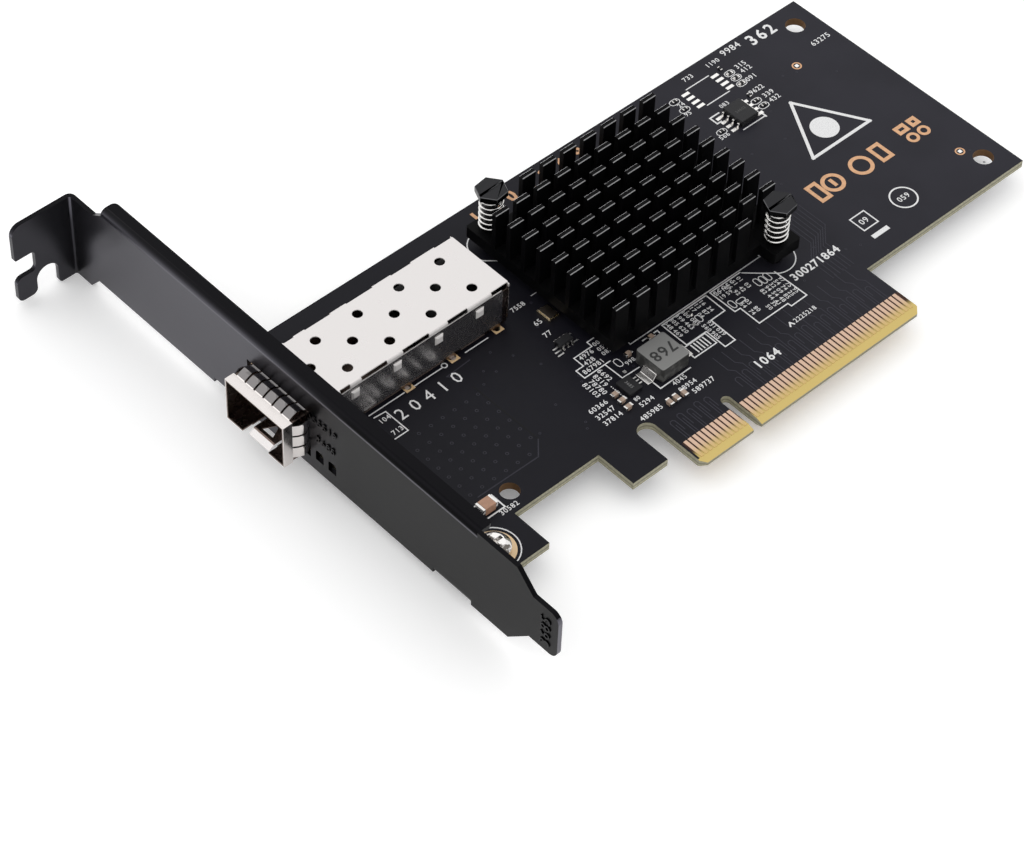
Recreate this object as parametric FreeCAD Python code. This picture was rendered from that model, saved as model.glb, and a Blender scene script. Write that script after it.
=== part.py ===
"""Single-port network interface card: an eight-lane edge-connector board with a folded
steel bracket, a pluggable-module cage, and a pin-fin heatsink held by two spring pins.

Units are millimetres. X runs along the card, away from the bracket. Y runs from the edge
connector up to the card's top edge. Z points out of the component side. The origin is the
centre of the edge connector's key notch, on the connector's bottom edge and in the middle
of the board's thickness.
"""
import FreeCAD, Part
import math
import os

V = FreeCAD.Vector

# ---------------------------------------------------------------- driving dimensions
# board
board_thickness = 1.57
board_top_y = 68.9
board_far_x = 80.0
board_main_bottom_y = 12.65
board_to_bracket = 0.55
tab_bottom_y = 4.56
near_tab_width = 14.99
middle_tab_left_x = -24.05
middle_tab_width = 7.8
far_hole_radius = 1.9
far_hole_from_end = 4.6
far_hole_low_y = 17.9
far_hole_spacing = 46.1
spare_hole_from_edge = 17.59
spare_hole_y = 16.6
spare_hole_radius = 1.75

# edge connector
contact_pitch = 1.0
contacts_left = 11
contacts_right = 38
key_pin_spacing = 3.0
key_notch_width = 1.9
key_notch_depth = 8.25
connector_margin = 1.1
connector_corner = 1.0
connector_slot_width = 3.6
connector_slot_top_y = 12.9
bevel_height = 1.3
bevel_depth = 0.45
finger_width = 0.7
finger_top_y = 5.5
plating = 0.05

# bracket
sheet = 0.86
bracket_face_x = -59.0
bracket_length = 120.02
bracket_width = 18.42
seat_y = 104.9
neck_width = 18.2
neck_drop = 2.8
neck_top_from_seat = 6.0
neck_bottom_from_seat = 4.05
neck_step = 2.4
flange_reach = 12.2
flange_corner = 2.0
flange_leg_lift = 0.8
flange_leg_corner = 1.2
slot_mouth_low_corner = 1.3
slot_mouth_high_corner = 0.4
notch_corner = 0.8
fold_inner_radius = 0.4
return_depth = 3.15
return_from_seat = 8.5
return_from_shoulder = 8.9
return_high_corner = 1.0
return_low_corner = 0.8
tongue_straight_low = 6.2
tongue_straight_high = 5.65
tongue_width = 10.1
tongue_lift = 4.6
tongue_corner = 1.8
screw_slot_width = 4.42
screw_slot_depth = 4.1
screw_slot_from_edge = 7.55
screw_slot_corner = 0.9
arch_width = 4.5
arch_height = 5.8
arch_from_face = 3.7
cage_window_clearance = 0.55
led_window_width = 1.9
led_window_height = 2.3
led_window_low_z = 0.35
led_window_from_cage = (10.0, 13.1)
mount_tab_width = 8.8
mount_tab_reach = 13.4
mount_tab_corner = 1.6
mount_hole_from_face = 8.9
mount_hole_y = (9.4, 63.4)

# bracket screws
screw_radius = 1.5
screw_length = 4.2
screw_head_radius = 2.85
screw_head_height = 1.9
screw_crown = 0.45
screw_clearance = 0.15
recess_width = 0.65
recess_span = 3.2
recess_depth = 1.1

# small punched holes
punch_flats = 12

# module cage
cage_mid_y = 51.1
cage_width = 14.5
cage_height = 9.8
cage_sheet = 0.2
cage_front_from_face = 5.1
cage_length = 48.75
cage_lift = 0.4
collar_length = 6.3
collar_band = 1.9
collar_seam = 0.2
cover_skirt = 8.4
vent_radius = 0.95
vent_columns = 4
vent_pitch = 9.05
vent_row_spacing = 3.98
vent_from_rear = 5.25
cover_bend_radius = 0.2
relief_height = 0.75
relief_slots = ((36.65, 34.55), (32.15, 26.65), (23.25, 17.55), (13.45, 9.05), (3.75, 0.0))
skirt_rear_gap = 1.25
skirt_corner = 0.5
tray_wall_drop = 1.3
dimple_side = 1.9
dimple_height = 0.35
dimple_from_rear = 6.45
dimple_drop = 2.6
finger_count_top = 6
finger_count_side = 3
finger_pitch_side = 2.6
finger_inset = 0.6
finger_gap = 0.38
spring_finger_bulge = 0.85
spring_finger_bow = ((0.0, 0.0), (0.18, 0.6), (0.38, 1.0), (0.55, 0.85), (0.72, 0.3), (0.86, 0.08), (1.0, 0.0))
pin_width = 0.8
pin_below_board = 0.9
pin_hole_clearance = 0.25
pin_pitch = 9.97
pins_per_side = 3
pin_from_rear = 2.1
cage_pad_size = 1.9
latch_width = 5.6
latch_length = 7.4
latch_slit = 0.5
latch_bay_width = 6.5
latch_bay_depth = 2.0
latch_lip_run = 1.3
latch_lip_drop = 0.9
latch_hole = 2.6
latch_hole_from_bay = 0.6

# host connector inside the cage
host_length = 13.2
host_width = 11.8
host_height = 7.6
host_rear_gap = 1.6
host_slot_height = 1.6
host_slot_depth = 7.0
host_slot_z = 3.6
host_contact_pitch = 0.8
host_contacts = 10
host_contact_width = 0.35
host_contact_thickness = 0.2

# heatsink
sink_centre_x = 12.42
sink_centre_y = 42.65
fin_columns = 9
fin_rows = 10
fin_pitch_x = 4.76
fin_pitch_y = 3.62
fin_length = 3.0
fin_thickness = 0.95
fin_height = 7.8
fins_cut_at_ear = 2
base_thickness = 2.3
ear_width = 6.5
ear_reach = 2.65
ear_corner = 0.4
ear_offset = 17.2
ear_shift_x = -0.1
ear_shift_y = -0.3
ear_hole_clearance = 0.35

# controller and its pad
chip_side = 21.0
chip_height = 1.9
pad_side = 17.0
pad_thickness = 0.3

# heatsink pins and springs
pin_shaft_radius = 1.3
pin_head_flats = 5.1
pin_head_turn = 7.0
pin_head_height = 1.2
pin_slit_width = 0.35
pin_slit_depth = 0.3
pin_board_clearance = 0.2
barb_radius = 1.95
barb_height = 2.2
spring_wire = 0.45
spring_radius = 1.975
spring_turns = 6
spring_height = 7.6
spring_facets = 10

# small parts on the board
inductor_x = -2.15
inductor_y = 20.25
inductor_side_x = 6.4
inductor_side_y = 6.55
inductor_height = 3.0
inductor_corner = 0.5
terminal_width = 3.0
terminal_shift_y = -0.6
terminal_reach = 2.05
terminal_bend = 1.0
terminal_thickness = 0.3
terminal_rise = 1.4
regulator_x = -10.1
regulator_y = 19.95
regulator_length = 2.9
regulator_width = 3.5
regulator_height = 0.75
crystal_x = -8.7
crystal_y = 40.8
crystal_length = 3.2
crystal_width = 2.5
crystal_height = 0.6
crystal_lid_margin = 0.2
crystal_lid_height = 0.15
flash_x = 50.4
flash_y = 53.7
flash_body_length = 4.9
flash_body_width = 4.1
flash_body_height = 1.35
flash_lift = 0.15
flash_lead_pitch = 1.27
flash_lead_width = 0.42
flash_lead_reach = 1.05
flash_lead_foot = 0.55
flash_lead_thickness = 0.2
small_chip_x = -11.3
small_chip_y = 34.3
small_chip_length = 2.9
small_chip_width = 1.6
small_chip_height = 1.0
small_chip_lead_pitch = 0.95
small_chip_lead_reach = 0.6
small_chip_lead_width = 0.4
capacitor_length = 1.6
capacitor_width = 0.85
capacitor_height = 0.8
capacitor_cap = 0.35
capacitor_places = ((-13.2, 20.1, 0), (-13.2, 18.4, 0), (-13.4, 16.7, 0), (-7.6, 12.9, 1),
                    (-6.1, 12.9, 1), (-4.4, 12.8, 1), (-5.2, 25.2, 0), (0.3, 25.4, 0))
resistor_length = 1.0
resistor_width = 0.5
resistor_height = 0.35
resistor_cap = 0.2
resistor_places = ((56.4, 64.7, 1), (55.4, 56.3, 1), (56.9, 62.8, 0), (57.0, 61.2, 0), (56.7, 59.5, 0),
                   (55.4, 54.5, 0), (55.6, 52.8, 0), (45.0, 52.9, 0), (44.1, 63.9, 0), (44.1, 61.3, 0),
                   (9.3, 25.2, 1))
bulk_from_edge = 12.24
bulk_y = 16.3
bulk_length = 3.2
bulk_width = 2.1
bulk_height = 1.6
bulk_cap = 0.5
led_length = 1.6
led_depth = 1.0
led_height = 1.9
led_from_edge = 0.4

# ---------------------------------------------------------------- derived levels and places
board_top = board_thickness / 2
board_bottom = -board_top
face_inner_x = bracket_face_x + sheet
board_near_x = face_inner_x + board_to_bracket
near_tab_right_x = board_near_x + near_tab_width
spare_hole_x = board_near_x + spare_hole_from_edge
bulk_x = board_near_x + bulk_from_edge
bracket_low_z = board_bottom - sheet
bracket_high_z = bracket_low_z + bracket_width
neck_low_z = bracket_low_z - neck_drop
neck_high_z = neck_low_z + neck_width
tongue_tip_y = seat_y + sheet - bracket_length
tongue_low_z = bracket_low_z + tongue_lift
tongue_high_z = tongue_low_z + tongue_width
shoulder_low_y = tongue_tip_y + tongue_straight_low + tongue_lift
shoulder_high_y = tongue_tip_y + tongue_straight_high + bracket_high_z - tongue_high_z
neck_top_y = seat_y - neck_top_from_seat
neck_bottom_y = seat_y - neck_bottom_from_seat
return_low_y = shoulder_high_y + return_from_shoulder
return_high_y = seat_y - return_from_seat
return_tip_x = bracket_face_x + return_depth
mount_hole_x = bracket_face_x + mount_hole_from_face
connector_left_x = -key_pin_spacing / 2 - (contacts_left - 1) * contact_pitch - connector_margin
connector_right_x = key_pin_spacing / 2 + (contacts_right - 1) * contact_pitch + connector_margin
connector_slot_x = connector_left_x - connector_slot_width / 2
middle_tab_right_x = connector_left_x - connector_slot_width
far_hole_x = board_far_x - far_hole_from_end
cage_front_x = bracket_face_x - cage_front_from_face
cage_rear_x = cage_front_x + cage_length
cage_low_z = board_top + cage_lift
cage_high_z = board_top + cage_height
cage_low_y = cage_mid_y - cage_width / 2
cage_high_y = cage_mid_y + cage_width / 2
cover_front_x = cage_front_x + collar_length + collar_seam
latch_bay_x = cage_front_x + latch_bay_depth
led_window_y = [cage_mid_y - offset for offset in led_window_from_cage]
sink_bottom_z = board_top + chip_height + pad_thickness
sink_top_z = sink_bottom_z + base_thickness
fin_top_z = sink_top_z + fin_height
sink_half_x = ((fin_columns - 1) * fin_pitch_x + fin_length) / 2
sink_half_y = ((fin_rows - 1) * fin_pitch_y + fin_thickness) / 2
ear_mid_x = sink_centre_x + ear_shift_x
ear_mid_y = sink_centre_y + ear_shift_y
pin_places = ((ear_mid_x + ear_offset, ear_mid_y - ear_offset),
              (ear_mid_x - ear_offset, ear_mid_y + ear_offset))
pin_head_low_z = sink_top_z + spring_height


# ---------------------------------------------------------------- shape helpers
def block(x0, x1, y0, y1, z0, z1):
    """A box between two corners."""
    return Part.makeBox(x1 - x0, y1 - y0, z1 - z0, V(x0, y0, z0))


def centred_block(x, y, length, width, z0, z1):
    """A box standing on z0, centred on a place of the board."""
    return block(x - length / 2, x + length / 2, y - width / 2, y + width / 2, z0, z1)


def rod(radius, x, y, z0, z1):
    """A round bar along Z."""
    return Part.makeCylinder(radius, z1 - z0, V(x, y, z0))


def punched(radius, x, y, z0, z1):
    """The tool for a small punched hole along Z, with flats in place of a curve."""
    angles = [2 * math.pi * (i + 0.5) / punch_flats for i in range(punch_flats)]
    ring = [V(x + radius * math.cos(angle), y + radius * math.sin(angle), z0) for angle in angles]
    return prism(ring, V(0, 0, z1 - z0))


def prism(points, direction):
    """A closed outline of straight edges, pushed along a direction."""
    face = Part.Face(Part.makePolygon(list(points) + [points[0]]))
    return face.extrude(direction)


def round_edges(shape, radius, along, keep=None):
    """Round the edges that run along an axis, all of them or those whose middle passes keep."""
    chosen = []
    for edge in shape.Edges:
        ends = edge.Vertexes
        if len(ends) < 2:
            continue
        run = ends[1].Point.sub(ends[0].Point)
        if run.Length < 1e-6 or abs(abs(run.dot(along)) - run.Length) > 1e-6:
            continue
        if keep is None or keep(edge.CenterOfMass):
            chosen.append(edge)
    return shape.makeFillet(radius, chosen)


def fused(pieces):
    """One solid from pieces that touch or overlap."""
    body = pieces[0].multiFuse(pieces[1:]) if len(pieces) > 1 else pieces[0]
    return body.removeSplitter()


def cut(shape, tools):
    """The shape with every tool taken away."""
    return shape.cut(Part.makeCompound(tools)) if tools else shape


def save(name, shape):
    """Write one node, as its own file."""
    shape.exportStep("parts/" + name + ".step")


def save_group(name, solids):
    """Write like pieces as one node of separate solids."""
    save(name, Part.makeCompound(solids))


# ---------------------------------------------------------------- board
def contact_columns():
    """The X of each contact of the edge connector, on both sides of the key notch."""
    left = [-key_pin_spacing / 2 - i * contact_pitch for i in range(contacts_left)]
    right = [key_pin_spacing / 2 + i * contact_pitch for i in range(contacts_right)]
    return left + right


def cage_pin_places():
    """Where the cage's pins go through the board, with the side each one is on."""
    wall = cage_sheet * 1.5
    places = []
    for i in range(pins_per_side):
        x = cage_rear_x - pin_from_rear - i * pin_pitch
        places.append((x, cage_low_y + wall, -1))
        places.append((x, cage_high_y - wall, 1))
    return places


def slot_tool(x, width, bottom_y, top_y):
    """A round-ended slot that is open at the bottom."""
    radius = width / 2
    straight = block(x - radius, x + radius, bottom_y, top_y - radius, board_bottom - 1, board_top + 1)
    return straight.fuse(rod(radius, x, top_y - radius, board_bottom - 1, board_top + 1))


def bevel_tool(side):
    """The wedge that bevels one face of the connector's bottom edge."""
    z_face = side * board_top
    z_edge = side * (board_top - bevel_depth)
    margin = 1.0
    triangle = [V(connector_left_x - margin, 0, z_edge),
                V(connector_left_x - margin, bevel_height, z_face),
                V(connector_left_x - margin, 0, z_face + side * margin),
                V(connector_left_x - margin, -margin, z_edge)]
    return prism(triangle, V(connector_right_x - connector_left_x + 2 * margin, 0, 0))


def board_solid():
    """The board's outline with its tabs, slots, holes and bevelled connector."""
    corners = [(board_near_x, tab_bottom_y), (near_tab_right_x, tab_bottom_y),
               (near_tab_right_x, board_main_bottom_y), (middle_tab_left_x, board_main_bottom_y),
               (middle_tab_left_x, tab_bottom_y),
               (middle_tab_left_x + middle_tab_width, tab_bottom_y),
               (middle_tab_left_x + middle_tab_width, connector_slot_top_y - connector_slot_width / 2),
               (connector_left_x, connector_slot_top_y - connector_slot_width / 2),
               (connector_left_x, connector_corner), (connector_left_x + connector_corner, 0),
               (connector_right_x - connector_corner, 0), (connector_right_x, connector_corner),
               (connector_right_x, board_main_bottom_y), (board_far_x, board_main_bottom_y),
               (board_far_x, board_top_y), (board_near_x, board_top_y)]
    board = prism([V(x, y, board_bottom) for x, y in corners], V(0, 0, board_thickness))
    slot_mid = (middle_tab_left_x + middle_tab_width + connector_left_x) / 2
    slot_wide = connector_left_x - middle_tab_left_x - middle_tab_width
    low, high = board_bottom - 1, board_top + 1
    tools = [slot_tool(slot_mid, slot_wide, 0, connector_slot_top_y),
             slot_tool(0, key_notch_width, -1, key_notch_depth),
             bevel_tool(1), bevel_tool(-1),
             rod(spare_hole_radius, spare_hole_x, spare_hole_y, low, high)]
    for row in range(2):
        tools.append(rod(far_hole_radius, far_hole_x, far_hole_low_y + row * far_hole_spacing, low, high))
    for y in mount_hole_y:
        tools.append(rod(screw_radius + screw_clearance, mount_hole_x, y, low, high))
    for x, y in pin_places:
        tools.append(rod(pin_shaft_radius + pin_board_clearance, x, y, low, high))
    for x, y, side in cage_pin_places():
        tools.append(punched(pin_width / 2 + pin_hole_clearance, x, y, low, high))
    return cut(board, tools)


def connector_contacts(side):
    """The gold contacts of one face, each a thin pad from the bevel up."""
    z_face = side * board_top
    low, high = sorted((z_face, z_face + side * plating))
    half = finger_width / 2
    return [block(x - half, x + half, bevel_height, finger_top_y, low, high) for x in contact_columns()]


def gold_pads():
    """Gold rings round the bracket screws and square pads round the cage's pins."""
    low, high = board_top, board_top + plating
    pads = []
    for y in mount_hole_y:
        ring = rod(screw_head_radius + 0.9, mount_hole_x, y, low, high)
        pads.append(ring.cut(rod(screw_radius + screw_clearance, mount_hole_x, y, low, high)))
    for x, y, side in cage_pin_places():
        pad = centred_block(x, y, cage_pad_size, cage_pad_size, low, high)
        pads.append(pad.cut(punched(pin_width / 2 + pin_hole_clearance, x, y, low, high)))
    return pads


# ---------------------------------------------------------------- bracket
def bent_corner(centre, start, turn, run, inner=fold_inner_radius, thickness=sheet):
    """A quarter of a bend: the sheet's section turned about the bend's centre line.

    start is the unit direction from the centre to the section, turn the one it ends on, and
    run the vector along the bend.
    """
    outer = inner + thickness
    middle = start.add(turn).normalize()
    arc_out = Part.Arc(centre.add(start * outer), centre.add(middle * outer), centre.add(turn * outer))
    arc_in = Part.Arc(centre.add(turn * inner), centre.add(middle * inner), centre.add(start * inner))
    edges = [arc_out.toShape(), Part.makeLine(centre.add(turn * outer), centre.add(turn * inner)),
             arc_in.toShape(), Part.makeLine(centre.add(start * inner), centre.add(start * outer))]
    return Part.Face(Part.Wire(edges)).extrude(run)


def bracket_web():
    """The flat face of the bracket, with its shoulders, tongue, neck and windows."""
    bend = fold_inner_radius + sheet
    top_z = bracket_high_z - bend
    outline = [(tongue_tip_y, tongue_low_z), (shoulder_low_y - tongue_lift, tongue_low_z),
               (shoulder_low_y, bracket_low_z), (neck_bottom_y - neck_step, bracket_low_z),
               (neck_bottom_y, neck_low_z), (seat_y - fold_inner_radius, neck_low_z),
               (seat_y - fold_inner_radius, neck_high_z), (neck_top_y, neck_high_z),
               (return_high_y, top_z), (return_low_y, top_z),
               (return_low_y, bracket_high_z), (shoulder_high_y, bracket_high_z),
               (shoulder_high_y - (bracket_high_z - tongue_high_z), tongue_high_z),
               (tongue_tip_y, tongue_high_z)]
    web = prism([V(bracket_face_x, y, z) for y, z in outline], V(sheet, 0, 0))
    web = round_edges(web, tongue_corner, V(1, 0, 0), lambda p: p.y < tongue_tip_y + 0.01)
    return web


def bracket_windows():
    """The cut-outs for the cage and the two status lights."""
    gap = cage_window_clearance
    x0, x1 = bracket_face_x - 1, face_inner_x + 1
    tools = [block(x0, x1, cage_low_y - gap, cage_high_y + gap, cage_low_z - gap, cage_high_z + gap)]
    for y in led_window_y:
        half = led_window_width / 2
        low = board_top + led_window_low_z
        window = block(x0, x1, y - half, y + half, low, low + led_window_height)
        top = low + led_window_height
        tools.append(round_edges(window, half * 0.6, V(1, 0, 0), lambda p, top=top: p.z > top - 0.01))
    return tools


def bracket_flange():
    """The mounting flange at the top, with its screw slot and arched notch."""
    x_fold = bracket_face_x - fold_inner_radius
    x_tip = bracket_face_x - flange_reach
    plate = block(x_tip, x_fold, seat_y, seat_y + sheet, neck_low_z, neck_high_z)
    y0, y1 = seat_y - 1, seat_y + sheet + 1
    slot_high = neck_high_z - screw_slot_from_edge
    slot_low = slot_high - screw_slot_width
    slot = block(x_tip - 1, x_tip + screw_slot_depth, y0, y1, slot_low, slot_high)
    slot = round_edges(slot, screw_slot_corner, V(0, 1, 0), lambda p: p.x > x_tip)
    notch_x = bracket_face_x - arch_from_face
    radius = arch_width / 2
    arch_top = neck_low_z + arch_height
    leg_low = neck_low_z + flange_leg_lift
    arch = block(notch_x - arch_width, notch_x, y0, y1, neck_low_z - 1, arch_top - radius)
    round_top = Part.makeCylinder(radius, y1 - y0, V(notch_x - radius, y0, arch_top - radius), V(0, 1, 0))
    below_leg = block(x_tip - 1, notch_x - radius, y0, y1, neck_low_z - 1, leg_low)
    plate = plate.cut(slot).cut(arch.fuse(round_top)).cut(below_leg)
    corners = [(x_tip, neck_high_z, flange_corner), (x_tip, slot_high, slot_mouth_high_corner),
               (x_tip, slot_low, slot_mouth_low_corner), (x_tip, leg_low, flange_leg_corner),
               (notch_x - arch_width, leg_low, flange_leg_corner), (notch_x, neck_low_z, notch_corner)]
    for x, z, size in corners:
        plate = round_edges(plate, size, V(0, 1, 0), lambda p: abs(p.x - x) + abs(p.z - z) < 0.01)
    return plate


def mount_tab(y):
    """A tab folded under the board, with the hole that takes a bracket screw."""
    bend = fold_inner_radius + sheet
    y0, y1 = y - mount_tab_width / 2, y + mount_tab_width / 2
    tip = bracket_face_x + mount_tab_reach
    plate = block(bracket_face_x + bend, tip, y0, y1, bracket_low_z, bracket_low_z + sheet)
    plate = round_edges(plate, mount_tab_corner, V(0, 0, 1), lambda p: p.x > tip - 0.01)
    corner = bent_corner(V(bracket_face_x + bend, y0, bracket_low_z + bend), V(-1, 0, 0), V(0, 0, -1),
                         V(0, mount_tab_width, 0))
    hole = rod(screw_radius, mount_hole_x, y, bracket_low_z - 1, board_bottom + 1)
    return fused([plate, corner]).cut(hole)


def bracket_solid():
    """The whole bracket, folded from one sheet."""
    bend = fold_inner_radius + sheet
    web = bracket_web()
    reliefs = [block(bracket_face_x - 1, face_inner_x + 1, y - mount_tab_width / 2, y + mount_tab_width / 2,
                     bracket_low_z - 1, bracket_low_z + bend) for y in mount_hole_y]
    web = cut(web, bracket_windows() + reliefs)
    fold_y = seat_y - fold_inner_radius
    fold = bent_corner(V(bracket_face_x - fold_inner_radius, fold_y, neck_low_z), V(1, 0, 0), V(0, 1, 0),
                       V(0, 0, neck_width))
    roll = bent_corner(V(bracket_face_x + bend, return_low_y, bracket_high_z - bend), V(-1, 0, 0), V(0, 0, 1),
                       V(0, return_high_y - return_low_y, 0))
    lip = block(bracket_face_x + bend, return_tip_x, return_low_y, return_high_y, bracket_high_z - sheet,
                bracket_high_z)
    for y, size in ((return_low_y, return_low_corner), (return_high_y, return_high_corner)):
        lip = round_edges(lip, size, V(0, 0, 1), lambda p: p.x > return_tip_x - 0.01 and abs(p.y - y) < 0.01)
    tabs = [mount_tab(y) for y in mount_hole_y]
    return fused([web, fold, bracket_flange(), roll, lip] + tabs)


def bracket_screw(y):
    """A pan-head screw with a cross recess, through the board into its tab."""
    head_low = board_top + plating
    crown = screw_head_height * screw_crown
    head = rod(screw_head_radius, mount_hole_x, y, head_low, head_low + screw_head_height - crown)
    dome = Part.makeCone(screw_head_radius, screw_head_radius - crown * 1.2, crown,
                         V(mount_hole_x, y, head_low + screw_head_height - crown))
    head = head.fuse(dome)
    shank_low = board_top + plating - screw_length
    shank = rod(screw_radius, mount_hole_x, y, shank_low, board_top + plating)
    top = board_top + plating + screw_head_height
    arms = [centred_block(mount_hole_x, y, recess_span, recess_width, top - recess_depth, top + 1),
            centred_block(mount_hole_x, y, recess_width, recess_span, top - recess_depth, top + 1)]
    return cut(fused([head, shank]), arms)


# ---------------------------------------------------------------- module cage
def tube(inset, x0, x1, z0, z1, wall):
    """A square tube along X, its outer faces set in from the cage's by inset."""
    outer = block(x0, x1, cage_low_y + inset, cage_high_y - inset, z0, z1)
    inner = block(x0 - 1, x1 + 1, cage_low_y + inset + wall, cage_high_y - inset - wall, z0 + wall, z1 - wall)
    return outer.cut(inner)


def cage_body():
    """The inner tray of the cage: floor, low side walls, rear wall, full front and pins."""
    z0, z1 = cage_low_z + cage_sheet, cage_high_z - cage_sheet
    shell = tube(cage_sheet, cage_front_x, cage_rear_x, z0, z1, cage_sheet)
    open_top = block(cover_front_x - collar_seam, cage_rear_x + 1, cage_low_y - 1, cage_high_y + 1,
                     cage_high_z - tray_wall_drop, z1 + 1)
    host_room = block(cage_rear_x - host_rear_gap - host_length - 1, cage_rear_x - host_rear_gap + 0.5,
                      cage_mid_y - host_width / 2 - 0.4, cage_mid_y + host_width / 2 + 0.4,
                      z0 - 1, z0 + cage_sheet + 0.1)
    floor_top = z0 + cage_sheet + 0.1
    bay = block(cage_front_x - 1, latch_bay_x, cage_mid_y - latch_bay_width / 2,
                cage_mid_y + latch_bay_width / 2, z0 - 1, floor_top)
    half = latch_width / 2
    slits = [block(latch_bay_x, cage_front_x + latch_length, cage_mid_y + s * half - latch_slit / 2,
                   cage_mid_y + s * half + latch_slit / 2, z0 - 1, floor_top) for s in (-1, 1)]
    eye_x = latch_bay_x + latch_hole_from_bay
    latch_eye = prism([V(eye_x, cage_mid_y - latch_hole / 2, z0 - 1), V(eye_x + latch_hole, cage_mid_y, z0 - 1),
                       V(eye_x, cage_mid_y + latch_hole / 2, z0 - 1)], V(0, 0, 2 + cage_sheet))
    rear = block(cage_rear_x - cage_sheet, cage_rear_x, cage_low_y + cage_sheet, cage_high_y - cage_sheet,
                 z0, z1 - cage_sheet)
    pieces = [cut(shell, [open_top, host_room, latch_eye, bay] + slits), rear]
    for x, y, side in cage_pin_places():
        half_sheet = cage_sheet / 2
        pieces.append(block(x - pin_width, x + pin_width, y - half_sheet, y + half_sheet, board_top + plating,
                            z0 + cage_sheet))
        pieces.append(block(x - pin_width / 2, x + pin_width / 2, y - half_sheet, y + half_sheet,
                            board_bottom - pin_below_board, board_top + plating))
    return fused(pieces)


def latch_lip_solid():
    """The lip of the latch tongue, turned down in the bay at the mouth."""
    z0 = cage_low_z + cage_sheet
    half = (latch_width - latch_slit) / 2
    tip_x = latch_bay_x - latch_lip_run
    section = [(latch_bay_x, z0), (latch_bay_x, z0 + cage_sheet), (tip_x, z0 + cage_sheet - latch_lip_drop),
               (tip_x, z0 - latch_lip_drop)]
    return prism([V(x, cage_mid_y - half, z) for x, z in section], V(0, 2 * half, 0))


def dimple(x, y, z, side):
    """A square pressed bump with sloped sides, on the outside of one skirt."""
    base = dimple_side / 2
    crest = base - dimple_height
    if side > 0:
        bump = Part.makeWedge(-base, 0, -base, -crest, -crest, base, dimple_height, base, crest, crest)
    else:
        bump = Part.makeWedge(-crest, -dimple_height, -crest, -base, -base, crest, 0, crest, base, base)
    bump.translate(V(x, y, z))
    return bump


def cover_side(y, side):
    """One side of the cover: the skirt, the bends left between the relief slots, the dimples."""
    t = cage_sheet
    bend = cover_bend_radius + t
    y0, y1 = sorted((y, y - side * t))
    skirt_top = cage_high_z - relief_height
    skirt_rear = cage_rear_x - skirt_rear_gap
    skirt = block(cover_front_x, skirt_rear, y0, y1, cage_high_z - cover_skirt, skirt_top)
    skirt = round_edges(skirt, skirt_corner, V(0, 1, 0),
                        lambda p: p.x > skirt_rear - 0.01 and p.z > skirt_top - 0.01)
    pieces = [skirt]
    starts = [cover_front_x] + [cage_rear_x - near for far, near in relief_slots]
    ends = [cage_rear_x - far for far, near in relief_slots]
    for x0, x1 in zip(starts, ends):
        pieces.append(block(x0, x1, y0, y1, skirt_top, cage_high_z - bend))
        pieces.append(bent_corner(V(x0, y - side * bend, cage_high_z - bend), V(0, side, 0), V(0, 0, 1),
                                  V(x1 - x0, 0, 0), cover_bend_radius, t))
    for i in range(vent_columns):
        x = cage_rear_x - dimple_from_rear - i * vent_pitch
        pieces.append(dimple(x, y, cage_high_z - dimple_drop, side))
    return pieces


def cage_cover():
    """The cover: a vented top folded down into two skirts, and a rear panel."""
    z1 = cage_high_z
    bend = cover_bend_radius + cage_sheet
    rear_face = cage_rear_x + cage_sheet
    top = block(cover_front_x, rear_face, cage_low_y + bend, cage_high_y - bend, z1 - cage_sheet, z1)
    vents = []
    for row in (-1, 0, 1):
        shift = 0 if row else vent_pitch / 2
        for i in range(vent_columns):
            x = cage_rear_x - vent_from_rear - shift - i * vent_pitch
            vents.append(punched(vent_radius, x, cage_mid_y + row * vent_row_spacing, z1 - 1, z1 + 1))
    rear = block(cage_rear_x, rear_face, cage_low_y, cage_high_y, z1 - cover_skirt, z1 - cage_sheet)
    return fused([cut(top, vents), rear] + cover_side(cage_low_y, -1) + cover_side(cage_high_y, 1))


def spring_finger(origin, out, across, width):
    """One bowed contact finger: a strip of sheet from the collar's band to its rear end."""
    run = collar_length - collar_band
    lower, upper = [], []
    for part, rise in spring_finger_bow:
        bow = rise * spring_finger_bulge
        place = origin.add(V(run * part, 0, 0)).add(across * (-width / 2))
        lower.append(place.add(out * bow))
        upper.append(place.add(out * (bow + cage_sheet)))
    return prism(lower + upper[::-1], across * width)


def spring_collar():
    """The collar round the cage's mouth, with a row of spring fingers on each side."""
    x0, x1 = cage_front_x, cage_front_x + collar_band
    rear = cage_front_x + collar_length
    t = cage_sheet
    bay_half = latch_bay_width / 2
    bay = block(x0 - 1, x1 + 1, cage_mid_y - bay_half, cage_mid_y + bay_half, cage_low_z - 1, cage_low_z + t)
    pieces = [tube(0, x0, x1, cage_low_z, cage_high_z, t).cut(bay)]
    root = x1 - t / 4
    pitch_top = (cage_width - 2 * finger_inset) / finger_count_top
    width = pitch_top - finger_gap
    for i in range(finger_count_top):
        y = cage_low_y + finger_inset + (i + 0.5) * pitch_top
        pieces.append(spring_finger(V(root, y, cage_high_z - t), V(0, 0, 1), V(0, 1, 0), width))
        if abs(y - cage_mid_y) > bay_half + width / 2:
            pieces.append(spring_finger(V(root, y, cage_low_z + t), V(0, 0, -1), V(0, 1, 0), width))
    width = finger_pitch_side - finger_gap
    for i in range(finger_count_side):
        z = cage_high_z - finger_inset - (i + 0.5) * finger_pitch_side
        pieces.append(spring_finger(V(root, cage_low_y + t, z), V(0, -1, 0), V(0, 0, 1), width))
        pieces.append(spring_finger(V(root, cage_high_y - t, z), V(0, 1, 0), V(0, 0, 1), width))
    pieces.append(tube(0, rear - t, rear, cage_low_z, cage_high_z, t))
    return fused(pieces)


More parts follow.
